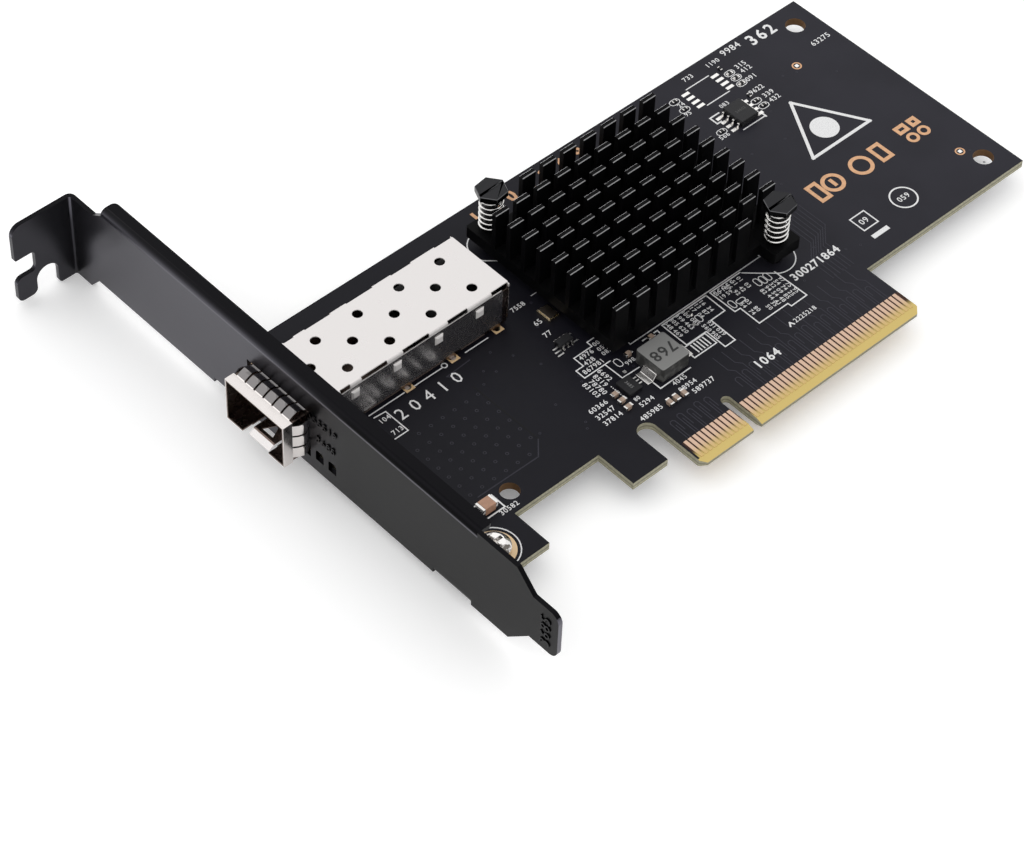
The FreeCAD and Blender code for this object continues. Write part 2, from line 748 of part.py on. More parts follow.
def host_connector():
    """The moulded housing of the card-edge socket inside the cage, and its contacts."""
    x1 = cage_rear_x - host_rear_gap
    x0 = x1 - host_length
    y0, y1 = cage_mid_y - host_width / 2, cage_mid_y + host_width / 2
    housing = block(x0, x1, y0, y1, board_top, board_top + host_height)
    slot_low = board_top + host_slot_z
    slot = block(x0 - 1, x0 + host_slot_depth, y0 + 1, y1 - 1, slot_low, slot_low + host_slot_height)
    contacts = []
    for i in range(host_contacts):
        y = cage_mid_y + (i - (host_contacts - 1) / 2) * host_contact_pitch
        half = host_contact_width / 2
        thick = host_contact_thickness
        for z in (slot_low, slot_low + host_slot_height - thick):
            contacts.append(block(x0 + 0.8, x0 + host_slot_depth, y - half, y + half, z, z + thick))
    return housing.cut(slot), contacts


# ---------------------------------------------------------------- heatsink and its pins
def heatsink():
    """The finned block: a base with two square ears, and blades cut in rows and columns."""
    base = block(sink_centre_x - sink_half_x, sink_centre_x + sink_half_x,
                 sink_centre_y - sink_half_y, sink_centre_y + sink_half_y, sink_bottom_z, sink_top_z)
    ears = []
    for x, y in pin_places:
        side = 1 if x > sink_centre_x else -1
        flank = sink_centre_x + side * sink_half_x
        x0, x1 = sorted((flank, flank - side * ear_width))
        end_y = y - side * ear_reach
        y0, y1 = sorted((sink_centre_y, end_y))
        ears.append(round_edges(block(x0, x1, y0, y1, sink_bottom_z, sink_top_z), ear_corner, V(0, 0, 1),
                                lambda p: abs(p.y - end_y) < 0.01))
    fins = []
    for column in range(fin_columns):
        for row in range(fin_rows):
            low_ear = row == 0 and column >= fin_columns - fins_cut_at_ear
            high_ear = row == fin_rows - 1 and column < fins_cut_at_ear
            if low_ear or high_ear:
                continue
            x = sink_centre_x + (column - (fin_columns - 1) / 2) * fin_pitch_x
            y = sink_centre_y + (row - (fin_rows - 1) / 2) * fin_pitch_y
            fins.append(centred_block(x, y, fin_length, fin_thickness, sink_top_z, fin_top_z))
    body = fused([base] + ears + fins)
    holes = [rod(pin_shaft_radius + ear_hole_clearance, x, y, sink_bottom_z - 1, sink_top_z + 1)
             for x, y in pin_places]
    return cut(body, holes)


def spring_pin(x, y):
    """A push pin: a slit hexagon head, a shaft and a barbed point below the board."""
    low, high = pin_head_low_z, pin_head_low_z + pin_head_height
    corner = pin_head_flats / math.sqrt(3)
    angles = [math.radians(60 * i + pin_head_turn) for i in range(6)]
    hexagon = [V(x + corner * math.cos(angle), y + corner * math.sin(angle), low) for angle in angles]
    head = prism(hexagon, V(0, 0, high - low))
    slit = centred_block(x, y, pin_head_flats, pin_slit_width, high - pin_slit_depth, high + 1)
    barb_top = board_bottom
    shaft = rod(pin_shaft_radius, x, y, barb_top - 0.1, low)
    barb = Part.makeCone(pin_shaft_radius * 0.7, barb_radius, barb_height, V(x, y, barb_top - barb_height))
    gap = centred_block(x, y, 2 * barb_radius + 1, pin_slit_width * 1.6, barb_top - barb_height - 1, barb_top - 0.4)
    return cut(fused([head.cut(slit), shaft, barb]), [gap])


def coil_spring(x, y):
    """A compression spring: a six-sided wire that follows a helix of straight chords."""
    low = sink_top_z + spring_wire / 2
    high = pin_head_low_z - spring_wire / 2
    steps = spring_turns * spring_facets
    points = []
    for i in range(steps + 1):
        angle = 2 * math.pi * i / spring_facets
        z = low + (high - low) * i / steps
        points.append(V(x + spring_radius * math.cos(angle), y + spring_radius * math.sin(angle), z))
    rings = []
    for i, p in enumerate(points):
        angle = 2 * math.pi * i / spring_facets
        radial = V(math.cos(angle), math.sin(angle), 0)
        ring = []
        for k in range(6):
            a = math.radians(60 * k)
            ring.append(p.add(radial * (spring_wire / 2 * math.cos(a))).add(V(0, 0, spring_wire / 2 * math.sin(a))))
        rings.append(Part.makePolygon(ring + [ring[0]]))
    return Part.makeLoft(rings, True, True)


# ---------------------------------------------------------------- small parts
def inductor():
    """A square moulded inductor and its two folded terminals."""
    z0, z1 = board_top, board_top + inductor_height
    body = centred_block(inductor_x, inductor_y, inductor_side_x, inductor_side_y, z0, z1)
    body = round_edges(body, inductor_corner, V(0, 0, 1))
    terminals = []
    for side in (-1, 1):
        wall = inductor_x + side * inductor_side_x / 2
        section = [(0, 0), (terminal_reach, 0), (terminal_reach, terminal_thickness),
                   (terminal_bend, terminal_thickness), (terminal_thickness, terminal_rise), (0, terminal_rise)]
        low_y = inductor_y + terminal_shift_y - terminal_width / 2
        terminals.append(prism([V(wall + side * out, low_y, z0 + up) for out, up in section],
                               V(0, terminal_width, 0)))
    return body, terminals


def two_ended(x, y, turned, length, width, height, cap):
    """A chip part: its body and the metal cap on each end."""
    def bar(low, high):
        if turned:
            return block(x - width / 2, x + width / 2, y + low, y + high, board_top, board_top + height)
        return block(x + low, x + high, y - width / 2, y + width / 2, board_top, board_top + height)
    half = length / 2
    return bar(-half + cap, half - cap), [bar(-half, -half + cap), bar(half - cap, half)]


def two_ended_group(places, length, width, height, cap):
    """Like chip parts at many places: all bodies, and all caps."""
    bodies, caps = [], []
    for x, y, turned in places:
        body, ends = two_ended(x, y, turned, length, width, height, cap)
        bodies.append(body)
        caps += ends
    return bodies, caps


def leaded_chip(x, y, turn, length, width, height, lift, lead):
    """A small outline package with gull-wing leads on its two long sides, turned on the board."""
    pitch, per_side, lead_width, reach, foot = lead
    body = centred_block(x, y, length, width, board_top + lift, board_top + lift + height)
    leads = []
    t = flash_lead_thickness
    mid_z = board_top + lift + height / 2
    for i in range(per_side):
        lead_x = x + (i - (per_side - 1) / 2) * pitch
        for side in (-1, 1):
            wall = y + side * width / 2
            tip = wall + side * reach
            heel = tip - side * foot

            def strip(ya, yb, za, zb):
                return block(lead_x - lead_width / 2, lead_x + lead_width / 2, min(ya, yb), max(ya, yb), za, zb)
            knee = heel - side * t
            leads.append(fused([strip(wall, heel, mid_z, mid_z + t), strip(knee, heel, board_top, mid_z + t),
                                strip(knee, tip, board_top, board_top + t)]))
    for solid in [body] + leads:
        solid.rotate(V(x, y, 0), V(0, 0, 1), turn)
    return body, leads


def status_leds():
    """Two side-looking status lights, just behind the bracket's windows."""
    solids = []
    for y in led_window_y:
        x0 = board_near_x + led_from_edge
        solids.append(block(x0, x0 + led_depth, y - led_length / 2, y + led_length / 2, board_top,
                            board_top + led_height))
    return solids


# ---------------------------------------------------------------- build
def build():
    os.makedirs("parts", exist_ok=True)
    save("circuit_board", board_solid())
    save_group("contacts_component_side", connector_contacts(1))
    save_group("contacts_solder_side", connector_contacts(-1))
    save_group("gold_pads", gold_pads())

    save("bracket", bracket_solid())
    save_group("bracket_screws", [bracket_screw(y) for y in mount_hole_y])

    save("cage_body", fused([cage_body(), latch_lip_solid()]))
    save("cage_cover", cage_cover())
    save("cage_spring_collar", spring_collar())
    housing, contacts = host_connector()
    save("port_connector", housing)
    save_group("port_contacts", contacts)

    save("controller_chip", centred_block(sink_centre_x, sink_centre_y, chip_side, chip_side, board_top,
                                          board_top + chip_height))
    save("thermal_pad", centred_block(sink_centre_x, sink_centre_y, pad_side, pad_side,
                                      board_top + chip_height, sink_bottom_z))
    save("heatsink", heatsink())
    save_group("heatsink_pins", [spring_pin(x, y) for x, y in pin_places])
    save_group("heatsink_springs", [coil_spring(x, y) for x, y in pin_places])

    core, terminals = inductor()
    save("inductor_body", core)
    save_group("inductor_terminals", terminals)
    save("power_regulator", centred_block(regulator_x, regulator_y, regulator_length, regulator_width, board_top,
                                          board_top + regulator_height))
    crystal_top = board_top + crystal_height
    save("crystal_base", centred_block(crystal_x, crystal_y, crystal_width, crystal_length, board_top, crystal_top))
    save("crystal_lid", centred_block(crystal_x, crystal_y, crystal_width - 2 * crystal_lid_margin,
                                      crystal_length - 2 * crystal_lid_margin, crystal_top,
                                      crystal_top + crystal_lid_height))
    flash, flash_leads = leaded_chip(flash_x, flash_y, 90, flash_body_length, flash_body_width,
                                     flash_body_height, flash_lift,
                                     (flash_lead_pitch, 4, flash_lead_width, flash_lead_reach, flash_lead_foot))
    save("memory_chip", flash)
    save_group("memory_chip_leads", flash_leads)
    small, small_leads = leaded_chip(small_chip_x, small_chip_y, 0, small_chip_length, small_chip_width,
                                     small_chip_height, flash_lift / 2,
                                     (small_chip_lead_pitch, 3, small_chip_lead_width, small_chip_lead_reach,
                                      small_chip_lead_reach / 2))
    save("level_chip", small)
    save_group("level_chip_leads", small_leads)

    bodies, caps = two_ended_group(capacitor_places, capacitor_length, capacitor_width, capacitor_height,
                                   capacitor_cap)
    save_group("capacitor_bodies", bodies)
    save_group("capacitor_caps", caps)
    bodies, caps = two_ended_group(resistor_places, resistor_length, resistor_width, resistor_height, resistor_cap)
    save_group("resistor_bodies", bodies)
    save_group("resistor_caps", caps)
    body, ends = two_ended(bulk_x, bulk_y, 0, bulk_length, bulk_width, bulk_height, bulk_cap)
    save("input_capacitor_body", body)
    save_group("input_capacitor_caps", ends)
    save_group("status_lights", status_leds())


build()
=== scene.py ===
"""Looks of a single-port network card: finishes for its solids, and the fine pieces that
ride on them. Lengths in the helpers are millimetres; the frame is in metres."""
import math
import random

import bmesh
import bpy
from bpy.props import FloatProperty, FloatVectorProperty, IntProperty, PointerProperty
from mathutils import Matrix, Vector


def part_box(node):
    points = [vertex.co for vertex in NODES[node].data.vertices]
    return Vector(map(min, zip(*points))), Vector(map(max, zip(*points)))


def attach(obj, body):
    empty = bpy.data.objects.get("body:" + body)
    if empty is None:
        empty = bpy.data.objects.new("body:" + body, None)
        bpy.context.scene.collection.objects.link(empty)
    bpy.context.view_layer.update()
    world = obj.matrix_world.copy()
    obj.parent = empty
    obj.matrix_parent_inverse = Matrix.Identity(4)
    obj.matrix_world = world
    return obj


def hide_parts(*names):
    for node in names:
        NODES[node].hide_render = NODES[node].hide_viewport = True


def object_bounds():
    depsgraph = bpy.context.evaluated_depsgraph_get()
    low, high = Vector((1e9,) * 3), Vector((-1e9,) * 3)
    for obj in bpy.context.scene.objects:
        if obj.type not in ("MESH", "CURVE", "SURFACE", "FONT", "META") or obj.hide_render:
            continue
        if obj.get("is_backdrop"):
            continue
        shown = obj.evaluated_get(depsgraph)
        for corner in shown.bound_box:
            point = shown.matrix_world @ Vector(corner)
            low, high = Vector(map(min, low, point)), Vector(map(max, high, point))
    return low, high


bl_info = {
    "name": "Network card looks",
    "version": (1, 0, 0),
    "blender": (4, 5, 0),
    "location": "3D View > Sidebar > Card",
    "description": "Finishes and fine pieces for a network interface card",
    "category": "Object",
}

MM = 0.001
RIGHT_ANGLE = math.radians(90)
BLACK = (0.0, 0.0, 0.0)
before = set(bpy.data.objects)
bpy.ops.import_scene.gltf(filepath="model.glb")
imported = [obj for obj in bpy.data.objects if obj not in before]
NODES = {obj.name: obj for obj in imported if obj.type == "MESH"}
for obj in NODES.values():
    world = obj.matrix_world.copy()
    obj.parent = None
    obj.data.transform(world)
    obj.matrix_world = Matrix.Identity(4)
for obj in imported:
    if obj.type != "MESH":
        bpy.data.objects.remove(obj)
BOARD_LOW, BOARD_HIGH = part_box("circuit_board")
BOARD_TOP = BOARD_HIGH.z / MM
FACE_TO_BOARD = 1.41     # from the bracket's face to the board's end
BRACKET_FACE = BOARD_LOW.x / MM - FACE_TO_BOARD


def span(node):
    """A node's lowest and highest corners, in millimetres."""
    low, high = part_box(node)
    return low / MM, high / MM


# ---- shader sums
OBJECT_OUTPUT = 3        # of the Texture Coordinate node
NORMAL_OUTPUT = 1        # of the Geometry node


class Value:
    """A shader socket that takes part in Python arithmetic by adding Math nodes."""

    def __init__(self, owner, socket):
        self.owner = owner
        self.socket = socket

    def _math(self, operation, *terms):
        """One Math node on values, numbers or both."""
        return self.owner.node("ShaderNodeMath", {"operation": operation}, *terms)[0]

    def __add__(self, other):
        return self._math("ADD", self, other)

    def __radd__(self, other):
        return self._math("ADD", other, self)

    def __sub__(self, other):
        return self._math("SUBTRACT", self, other)

    def __rsub__(self, other):
        return self._math("SUBTRACT", other, self)

    def __mul__(self, other):
        return self._math("MULTIPLY", self, other)

    def __rmul__(self, other):
        return self._math("MULTIPLY", other, self)

    def __gt__(self, other):
        return self._math("GREATER_THAN", self, other)

    def __lt__(self, other):
        return self._math("LESS_THAN", self, other)

    def __abs__(self):
        return self._math("ABSOLUTE", self)

    def clamped(self):
        """The value kept between 0 and 1."""
        return self.owner.node("ShaderNodeClamp", {}, self)[0]

    def steps(self, low, high):
        """Nought up to the first value, one from the second, and smooth between them."""
        settings = {"interpolation_type": "SMOOTHSTEP"}
        return self.owner.node("ShaderNodeMapRange", settings, self, low, high)[0]


class Nodes:
    """A node tree and the ways to add to it."""

    def __init__(self, tree):
        self.tree = tree

    def connect(self, socket, value):
        """A Value is linked, and a constant goes on the socket itself."""
        if isinstance(value, Value):
            self.tree.links.new(value.socket, socket)
        elif socket.type == "RGBA":
            socket.default_value = tuple(value)[:3] + (1.0,)
        else:
            socket.default_value = value

    def node(self, kind, settings, *inputs, **named):
        """A node with its settings first, then what its sockets get; None leaves one as it is."""
        made = self.tree.nodes.new(kind)
        for key, value in settings.items():
            setattr(made, key, value)
        pairs = list(zip(made.inputs, inputs))
        pairs += [(made.inputs[key.replace("_", " ")], value) for key, value in named.items()]
        for socket, value in pairs:
            if value is not None:
                self.connect(socket, value)
        return [Value(self, out) for out in made.outputs]

    def place(self):
        """Object coordinates, in millimetres."""
        point = self.node("ShaderNodeTexCoord", {})[OBJECT_OUTPUT]
        return self.node("ShaderNodeVectorMath", {"operation": "SCALE"}, point, Scale=1 / MM)[0]

    def parts(self, vector):
        """A vector's three values."""
        return self.node("ShaderNodeSeparateXYZ", {}, vector)

    def vector(self, x, y, z):
        """Three values as one vector."""
        return self.node("ShaderNodeCombineXYZ", {}, x, y, z)[0]

    def facing(self):
        """The way the surface faces, as three values."""
        return self.parts(self.node("ShaderNodeNewGeometry", {})[NORMAL_OUTPUT])

    def noise(self, vector, scale, detail=3.0, roughness=0.55):
        """Patches from 0 to 1, so many to the millimetre."""
        return self.node("ShaderNodeTexNoise", {}, Vector=vector, Scale=scale, Detail=detail,
                         Roughness=roughness)[0]

    def blend(self, amount, first, second):
        """A colour that goes from the first to the second."""
        other_kinds = [None] * 5
        return self.node("ShaderNodeMix", {"data_type": "RGBA"}, amount, *other_kinds, first, second)[2]

    def seen(self):
        """One for rays that look at the surroundings: the camera's, a gloss's and a clear body's."""
        rays = {out.socket.name: out for out in self.node("ShaderNodeLightPath", {})}
        return (rays["Is Camera Ray"] + rays["Is Glossy Ray"] + rays["Is Transmission Ray"]).clamped()


class Finish(Nodes):
    """One procedural material: its node tree, the shader and the ways to feed it."""

    def __init__(self, name, color, roughness, metallic=0.0, **fixed):
        self.material = bpy.data.materials.new(name)
        self.material.use_nodes = True
        super().__init__(self.material.node_tree)
        self.shader = self.tree.nodes["Principled BSDF"]
        self.feed("Base Color", color)
        self.feed("Roughness", roughness)
        self.feed("Metallic", metallic)
        for socket, value in fixed.items():
            self.feed(socket.replace("_", " "), value)

    def feed(self, socket, value):
        """One of the shader's own sockets gets a colour, a number or a Value."""
        self.connect(self.shader.inputs[socket], value)

    def bump(self, height, distance, strength):
        """Relief of a height in 0 to 1 over a distance in millimetres."""
        self.feed("Normal", self.node("ShaderNodeBump", {}, Strength=strength, Distance=distance * MM,
                                      Height=height)[0])


# ---- finishes
FINISHES = {}


def finish(name, maker):
    """The named finish, made once."""
    if name not in FINISHES:
        FINISHES[name] = maker(name).material
    return FINISHES[name]


def scaled(color, factor):
    """A colour made lighter or darker."""
    return [c * factor for c in color]


def metal(color, roughness, spread=0.05, grain=0.2, scale=1.2):
    """A plain metal with faint patches of gloss and a fine grain."""
    def maker(name):
        made = Finish(name, color, roughness, 1.0)
        place = made.place()
        patches = made.noise(place, scale * 0.4, 2.0)
        made.feed("Roughness", patches * (2 * spread) + (roughness - spread))
        made.bump(made.noise(place, scale * 6, 2.0), 0.006, grain)
        return made
    return maker


def moulded(color, roughness, grain=0.5, scale=6.0, coat=0.0, gloss=0.5):
    """Moulded plastic, ceramic or paint with a fine even grain."""
    def maker(name):
        made = Finish(name, color, roughness, Coat_Weight=coat, Specular_IOR_Level=gloss)
        place = made.place()
        patches = made.noise(place, scale * 0.2, 2.0)
        made.feed("Base Color", made.blend(patches.steps(0.35, 0.7), scaled(color, 0.85), color))
        made.feed("Roughness", made.noise(place, scale * 0.5, 2.0) * 0.16 + (roughness - 0.08))
        made.bump(made.noise(place, scale, 3.0), 0.01, grain)
        return made
    return maker


chip_black = moulded((0.012, 0.012, 0.014), 0.5, gloss=0.3)

# Where the board's finish changes, in millimetres.
DRILLED_COLUMNS = ((75.4, 1.98), (-40.0, 1.85))      # middle and half width
DRILLED_LOW, DRILLED_HIGH = 14.0, 66.6
CONTACTS_TOP, CONTACTS_START = 5.5, -12.2
CORE_HALF = 0.16


def board_finish(name):
    """Dark solder mask on both faces, made lighter towards the far end as painted light, with the laminate
    showing on every cut edge.
    """
    look = bpy.context.scene.card_board
    made = Finish(name, look.mask, 0.4, Specular_IOR_Level=0.12)
    place = made.place()
    x, y, z = made.parts(place)
    side = abs(made.facing()[2])
    face = side > 0.98
    bevel = (side > 0.05) * (side < 0.98)
    core = abs(z) < CORE_HALF
    fibres = made.noise(place, 2.2, 3.0)
    edge = made.blend(fibres.steps(0.3, 0.7), look.edge, scaled(look.edge, 0.72))
    edge = made.blend(core * 0.7, edge, look.edge_core)
    edge = made.blend(bevel, edge, look.bevel)
    far, near = [abs(x - middle) < half for middle, half in DRILLED_COLUMNS]
    holes = (far + near) * (y > DRILLED_LOW) * (y < DRILLED_HIGH)
    edge = made.blend(holes, edge, look.hole)
    # Painted light: the mask grows lighter from the bracket towards the far end.
    mask = made.blend(x.steps(-30.0, 78.0), look.mask, look.mask_far_painted_light)
    gaps = (y < CONTACTS_TOP) * (x > CONTACTS_START)
    mask = made.blend(gaps, mask, made.blend(y.steps(1.5, 3.4), look.bevel, look.gap))
    mottle = made.noise(place, 0.06, 3.0).steps(0.3, 0.75)
    mask = made.blend(mottle * 0.2, mask, BLACK)
    made.feed("Base Color", made.blend(face, edge, mask))
    smudge = made.noise(place, 0.35, 3.0)
    made.feed("Roughness", face * (smudge * 0.12 - 0.26) + 0.62)
    weave = made.noise(place, 3.2, 2.0)
    made.bump(weave * 0.5 + made.noise(place, 0.9, 2.0), 0.006, 0.5)
    return made


def scaled_mask_finish(factor):
    """Solder mask scaled by a factor: lighter where it runs over copper and for a painted highlight, far
    darker for painted shade.
    """
    look = bpy.context.scene.card_board
    return moulded(scaled(look.mask_far_painted_light, factor), 0.36, 0.2, gloss=0.15)


def ink_finish(name):
    """White marking ink, slightly thin in places."""
    made = Finish(name, (0.8, 0.8, 0.8), 0.55)
    wear = made.noise(made.place(), 5.0, 3.0)
    made.feed("Base Color", made.blend(wear.steps(0.25, 0.6), (0.62, 0.62, 0.63), (0.86, 0.86, 0.86)))
    return made


def gold_finish(name):
    """Bright plating, warmer towards the connector's bottom edge."""
    look = bpy.context.scene.card_metal
    made = Finish(name, look.gold, 0.24, 1.0)
    place = made.place()
    low = 1.0 - made.parts(place)[1].steps(1.3, 4.2)
    made.feed("Base Color", made.blend(low, look.gold, look.gold_warm))
    made.feed("Roughness", made.noise(place, 1.5, 2.0) * 0.1 + 0.22)
    made.bump(made.noise(place, 7.0, 2.0), 0.003, 0.3)
    return made


# Heights on the bracket, in millimetres: where its shading starts and ends, its fold, and its lower tongue.
SHADE_LOW, SHADE_HIGH = 32.0, 62.0
FOLD_LOW, FOLD_HIGH = 100.0, 104.0
TONGUE_TOP = -9.0


def bracket_finish(name):
    """Glossy black plating, with painted shade towards the lower end and above the fold, deepest on the
    surfaces that face up, and painted highlights on the tongue's cut end and the bends.
    """
    look = bpy.context.scene.card_metal
    made = Finish(name, look.bracket, 0.3, 1.0)
    place = made.place()
    x, y, z = made.parts(place)
    across, along, upward = made.facing()
    patches = made.noise(place, 0.05, 2.0)
    # Painted shade: the colour grows darker towards the bracket's lower end.
    color = made.blend(y.steps(SHADE_LOW, SHADE_HIGH), scaled(look.bracket, 0.03), look.bracket)
    color = made.blend(patches * 0.12, color, BLACK)
    # Painted shade: the flange above the fold is made darker.
    color = made.blend(y.steps(FOLD_LOW, FOLD_HIGH), color, scaled(look.bracket, 0.5))
    # Painted highlights: the tongue's cut end and the narrow strips of the bends are made lighter.
    cut = (along < -0.75) * (y < TONGUE_TOP)
    turn = upward.steps(0.06, 0.18) * (1.0 - upward.steps(0.25, 0.4)) * (across < 0.0)
    color = made.blend((cut + turn * 0.8).clamped(), color, scaled(look.bracket, 1.5))
    # Painted shade: the surfaces that face up are made far darker.
    made.feed("Base Color", made.blend(upward.steps(0.35, 0.95), color, scaled(look.bracket, 0.1)))
    lines = made.noise(made.vector(x, y * 0.06, z), 3.0, 3.0)
    made.feed("Roughness", lines * 0.08 + 0.26)
    made.bump(made.noise(place, 5.0, 2.0), 0.004, 0.35)
    return made


def screw_finish(name):
    """Polished steel whose small waves catch light and dark, with dark patches in its colour as painted
    reflections.
    """
    made = Finish(name, (0.8, 0.79, 0.77), 0.12, 1.0)
    place = made.place()
    patches = made.noise(place, 0.75, 2.5, 0.6)
    flat = made.facing()[2].steps(0.80, 0.995)
    # Painted reflections: dark patches in the base colour, fewer where the surface faces up.
    dark = patches.steps(0.50, 0.60) * (1.0 - flat * 0.35)
    made.feed("Base Color", made.blend(dark, (0.84, 0.82, 0.80), (0.16, 0.145, 0.13)))
    made.feed("Roughness", made.noise(place, 1.5, 2.0) * 0.12 + 0.08)
    made.bump(made.noise(place, 1.1, 2.0), 0.02, 0.5)
    return made


def heatsink_finish(name):
    """Black anodised aluminium with fine saw marks up the blades."""
    look = bpy.context.scene.card_heatsink
    made = Finish(name, look.body, 0.42, Specular_IOR_Level=0.05)
    place = made.place()
    x, y, z = made.parts(place)
    lines = made.noise(made.vector(x * 6.0, y * 6.0, z * 0.5), 1.0, 3.0)
    made.feed("Base Color", made.blend(lines.steps(0.3, 0.7), scaled(look.body, 0.7), look.body))
    made.feed("Roughness", lines * 0.2 + 0.3)
    made.bump(lines, 0.008, 0.4)
    return made


def contrasting_finish(name):
    """The blades' upper edges in a lighter colour, made lighter still by painted light on the side away
    from the connector.
    """
    look = bpy.context.scene.card_heatsink
    made = Finish(name, look.blade_edge_color, 0.4)
    away = made.facing()[1].steps(0.2, 0.6)
    wear = made.noise(made.place(), 1.6, 2.0).steps(0.3, 0.6)
    near = made.blend(wear, scaled(look.blade_edge_color, 0.8), look.blade_edge_color)
    # Painted light: the edges that face away from the connector are made 2.6 times lighter.
    made.feed("Base Color", made.blend(away, near, scaled(look.blade_edge_color, 2.6)))
    return made


def cage_finish(name):
    """Tinned sheet, nearly flat on top, with matt pressed bumps on the skirts and its bends along the top
    made pale as a painted highlight.
    """
    look = bpy.context.scene.card_metal
    made = Finish(name, look.tin, 0.26, 1.0)
    place = made.place()
    y, z = made.parts(place)[1:]
    low, high = span("cage_cover")
    bump_height, fold_reach = 0.28, 0.86
    bumps = y < low.y + bump_height
    # Painted highlight: the bends along the top are made non-metallic so that they show pale.
    fold_highlight = (z > high.z - fold_reach) * (made.facing()[2] < 0.9) * (y < high.y - 1.0)
    made.feed("Metallic", 1.0 - (bumps + fold_highlight).clamped())
    made.feed("Roughness", made.noise(place, 0.3, 2.0) * 0.05 + 0.24)
    made.bump(made.noise(place, 0.5, 2.0), 0.01, 0.25)
    return made


def cage_inner_finish(name):
    """Tinned sheet, with painted shade making it darker inside; the latch's lip keeps the bright tin
    colour.
    """
    look = bpy.context.scene.card_metal
    made = Finish(name, look.tin, 0.28, 1.0)
    place = made.place()
    x, y, z = made.parts(place)
    low, high = span("cage_body")
    middle = (low.y + high.y) / 2
    lip_half, wall_half = 2.9, 7.06
    lip = (x < -60.7) * (z < 1.4) * (abs(y - middle) < lip_half)
    # Painted shade: inside the cage, except on the lip, the tin takes the darker inside colour.
    inside = (abs(y - middle) < wall_half) * (1.0 - lip)
    made.feed("Base Color", made.blend(inside, look.tin, look.inside))
    made.feed("Roughness", made.noise(place, 0.6, 2.0) * 0.1 + 0.22)
    made.bump(made.noise(place, 2.0, 2.0), 0.005, 0.3)
    return made


def pad_finish(name):
    """Gold-flashed pads round the screws and the cage's pins."""
    made = Finish(name, (0.76, 0.54, 0.30), 0.35, Coat_Weight=0.3)
    made.bump(made.noise(made.place(), 3.0, 2.0), 0.005, 0.3)
    return made


def inductor_finish(name):
    """Pressed iron powder: grey on top, glossier on its sides, which painted shade makes far darker, with
    lighter streaks.
    """
    made = Finish(name, (0.3, 0.3, 0.3), 0.45)
    place = made.place()
    up = made.facing()[2].steps(0.3, 0.95)
    streaks = made.noise(place, 0.9, 3.0).steps(0.45, 0.7)
    side = made.blend(streaks, (0.035, 0.035, 0.034), (0.11, 0.11, 0.105))
    # Painted shade: where the surface does not face up it gets a far darker colour than the top.
    made.feed("Base Color", made.blend(up, side, (0.205, 0.205, 0.2)))
    made.feed("Roughness", made.noise(place, 2.0, 2.0) * 0.15 + 0.36)
    made.bump(made.noise(place, 6.0, 3.0), 0.01, 0.4)
    return made


def spring_collar_finish(name):
    """Bright strip metal, with painted shade making the upward-facing fingers past the band far darker."""
    look = bpy.context.scene.card_metal
    made = Finish(name, look.collar, 0.16, 1.0)
    place = made.place()
    band = 2.0
    # Painted shade: fingers past the band that face up take the far darker finger colour.
    fingers = (made.parts(place)[0] > span("cage_spring_collar")[0].x + band) * (made.facing()[2] > 0.3)
    made.feed("Base Color", made.blend(fingers, look.collar, look.fingers))
    made.feed("Roughness", made.noise(place, 1.1, 3.0) * 0.16 + 0.08)
    made.bump(made.noise(place, 4.0, 2.0), 0.004, 0.35)
    return made


# ---- mesh helpers
SLIGHT_BEND = 0.005      # radians, below which two faces count as one plane
BROAD_TIMES = 3          # a broad face is this many times as wide as the strips beside it


def breadth(face):
    """The width of a long face of this area and outline."""
    return 2 * face.calc_area() / max(face.calc_perimeter(), 1e-9)


def broad(face, limit):
    """True for a flat face far wider than any curved strip beside it."""
    bends = [edge for edge in face.edges if len(edge.link_faces) == 2
             and SLIGHT_BEND < edge.calc_face_angle(0.0) < limit]
    beside = [breadth(other) for edge in bends for other in edge.link_faces if other is not face]
    return not beside or breadth(face) > BROAD_TIMES * max(beside)


def turned(mesh, verts, angle, axis="Z"):
    """Vertices turned about an axis through the origin."""
    bmesh.ops.rotate(mesh, cent=(0, 0, 0), matrix=Matrix.Rotation(angle, 3, axis), verts=verts)


def placed(name, data):
    """A new object of the scene."""
    made = bpy.data.objects.new(name, data)
    bpy.context.scene.collection.objects.link(made)
    return made


def settled(mesh, name):
    """A worked mesh as an object."""
    data = bpy.data.meshes.new(name)
    mesh.to_mesh(data)
    mesh.free()
    return placed(name, data)


def finished(mesh, name, materials, smooth=40.0):
    """A mesh in millimetres becomes a piece, flat where it is broad and smooth where it bends."""
    limit = math.radians(smooth)
    for face in mesh.faces:
        face.smooth = not broad(face, limit)
    bmesh.ops.scale(mesh, vec=(MM, MM, MM), verts=mesh.verts)
    for edge in mesh.edges:
        edge.smooth = len(edge.link_faces) == 2 and edge.calc_face_angle(0.0) < limit
    piece = settled(mesh, name)
    for material in materials:
        piece.data.materials.append(material)
    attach(piece, "root")
    return piece


def merged_copy(node):
    """A working copy of a solid's mesh, in millimetres, with flat areas as single faces."""
    mesh = bmesh.new()
    mesh.from_mesh(NODES[node].data)
    bmesh.ops.scale(mesh, vec=(1 / MM, 1 / MM, 1 / MM), verts=mesh.verts)
    bmesh.ops.remove_doubles(mesh, verts=mesh.verts, dist=0.001)
    bmesh.ops.dissolve_limit(mesh, angle_limit=math.radians(0.5), verts=mesh.verts, edges=mesh.edges)
    return mesh


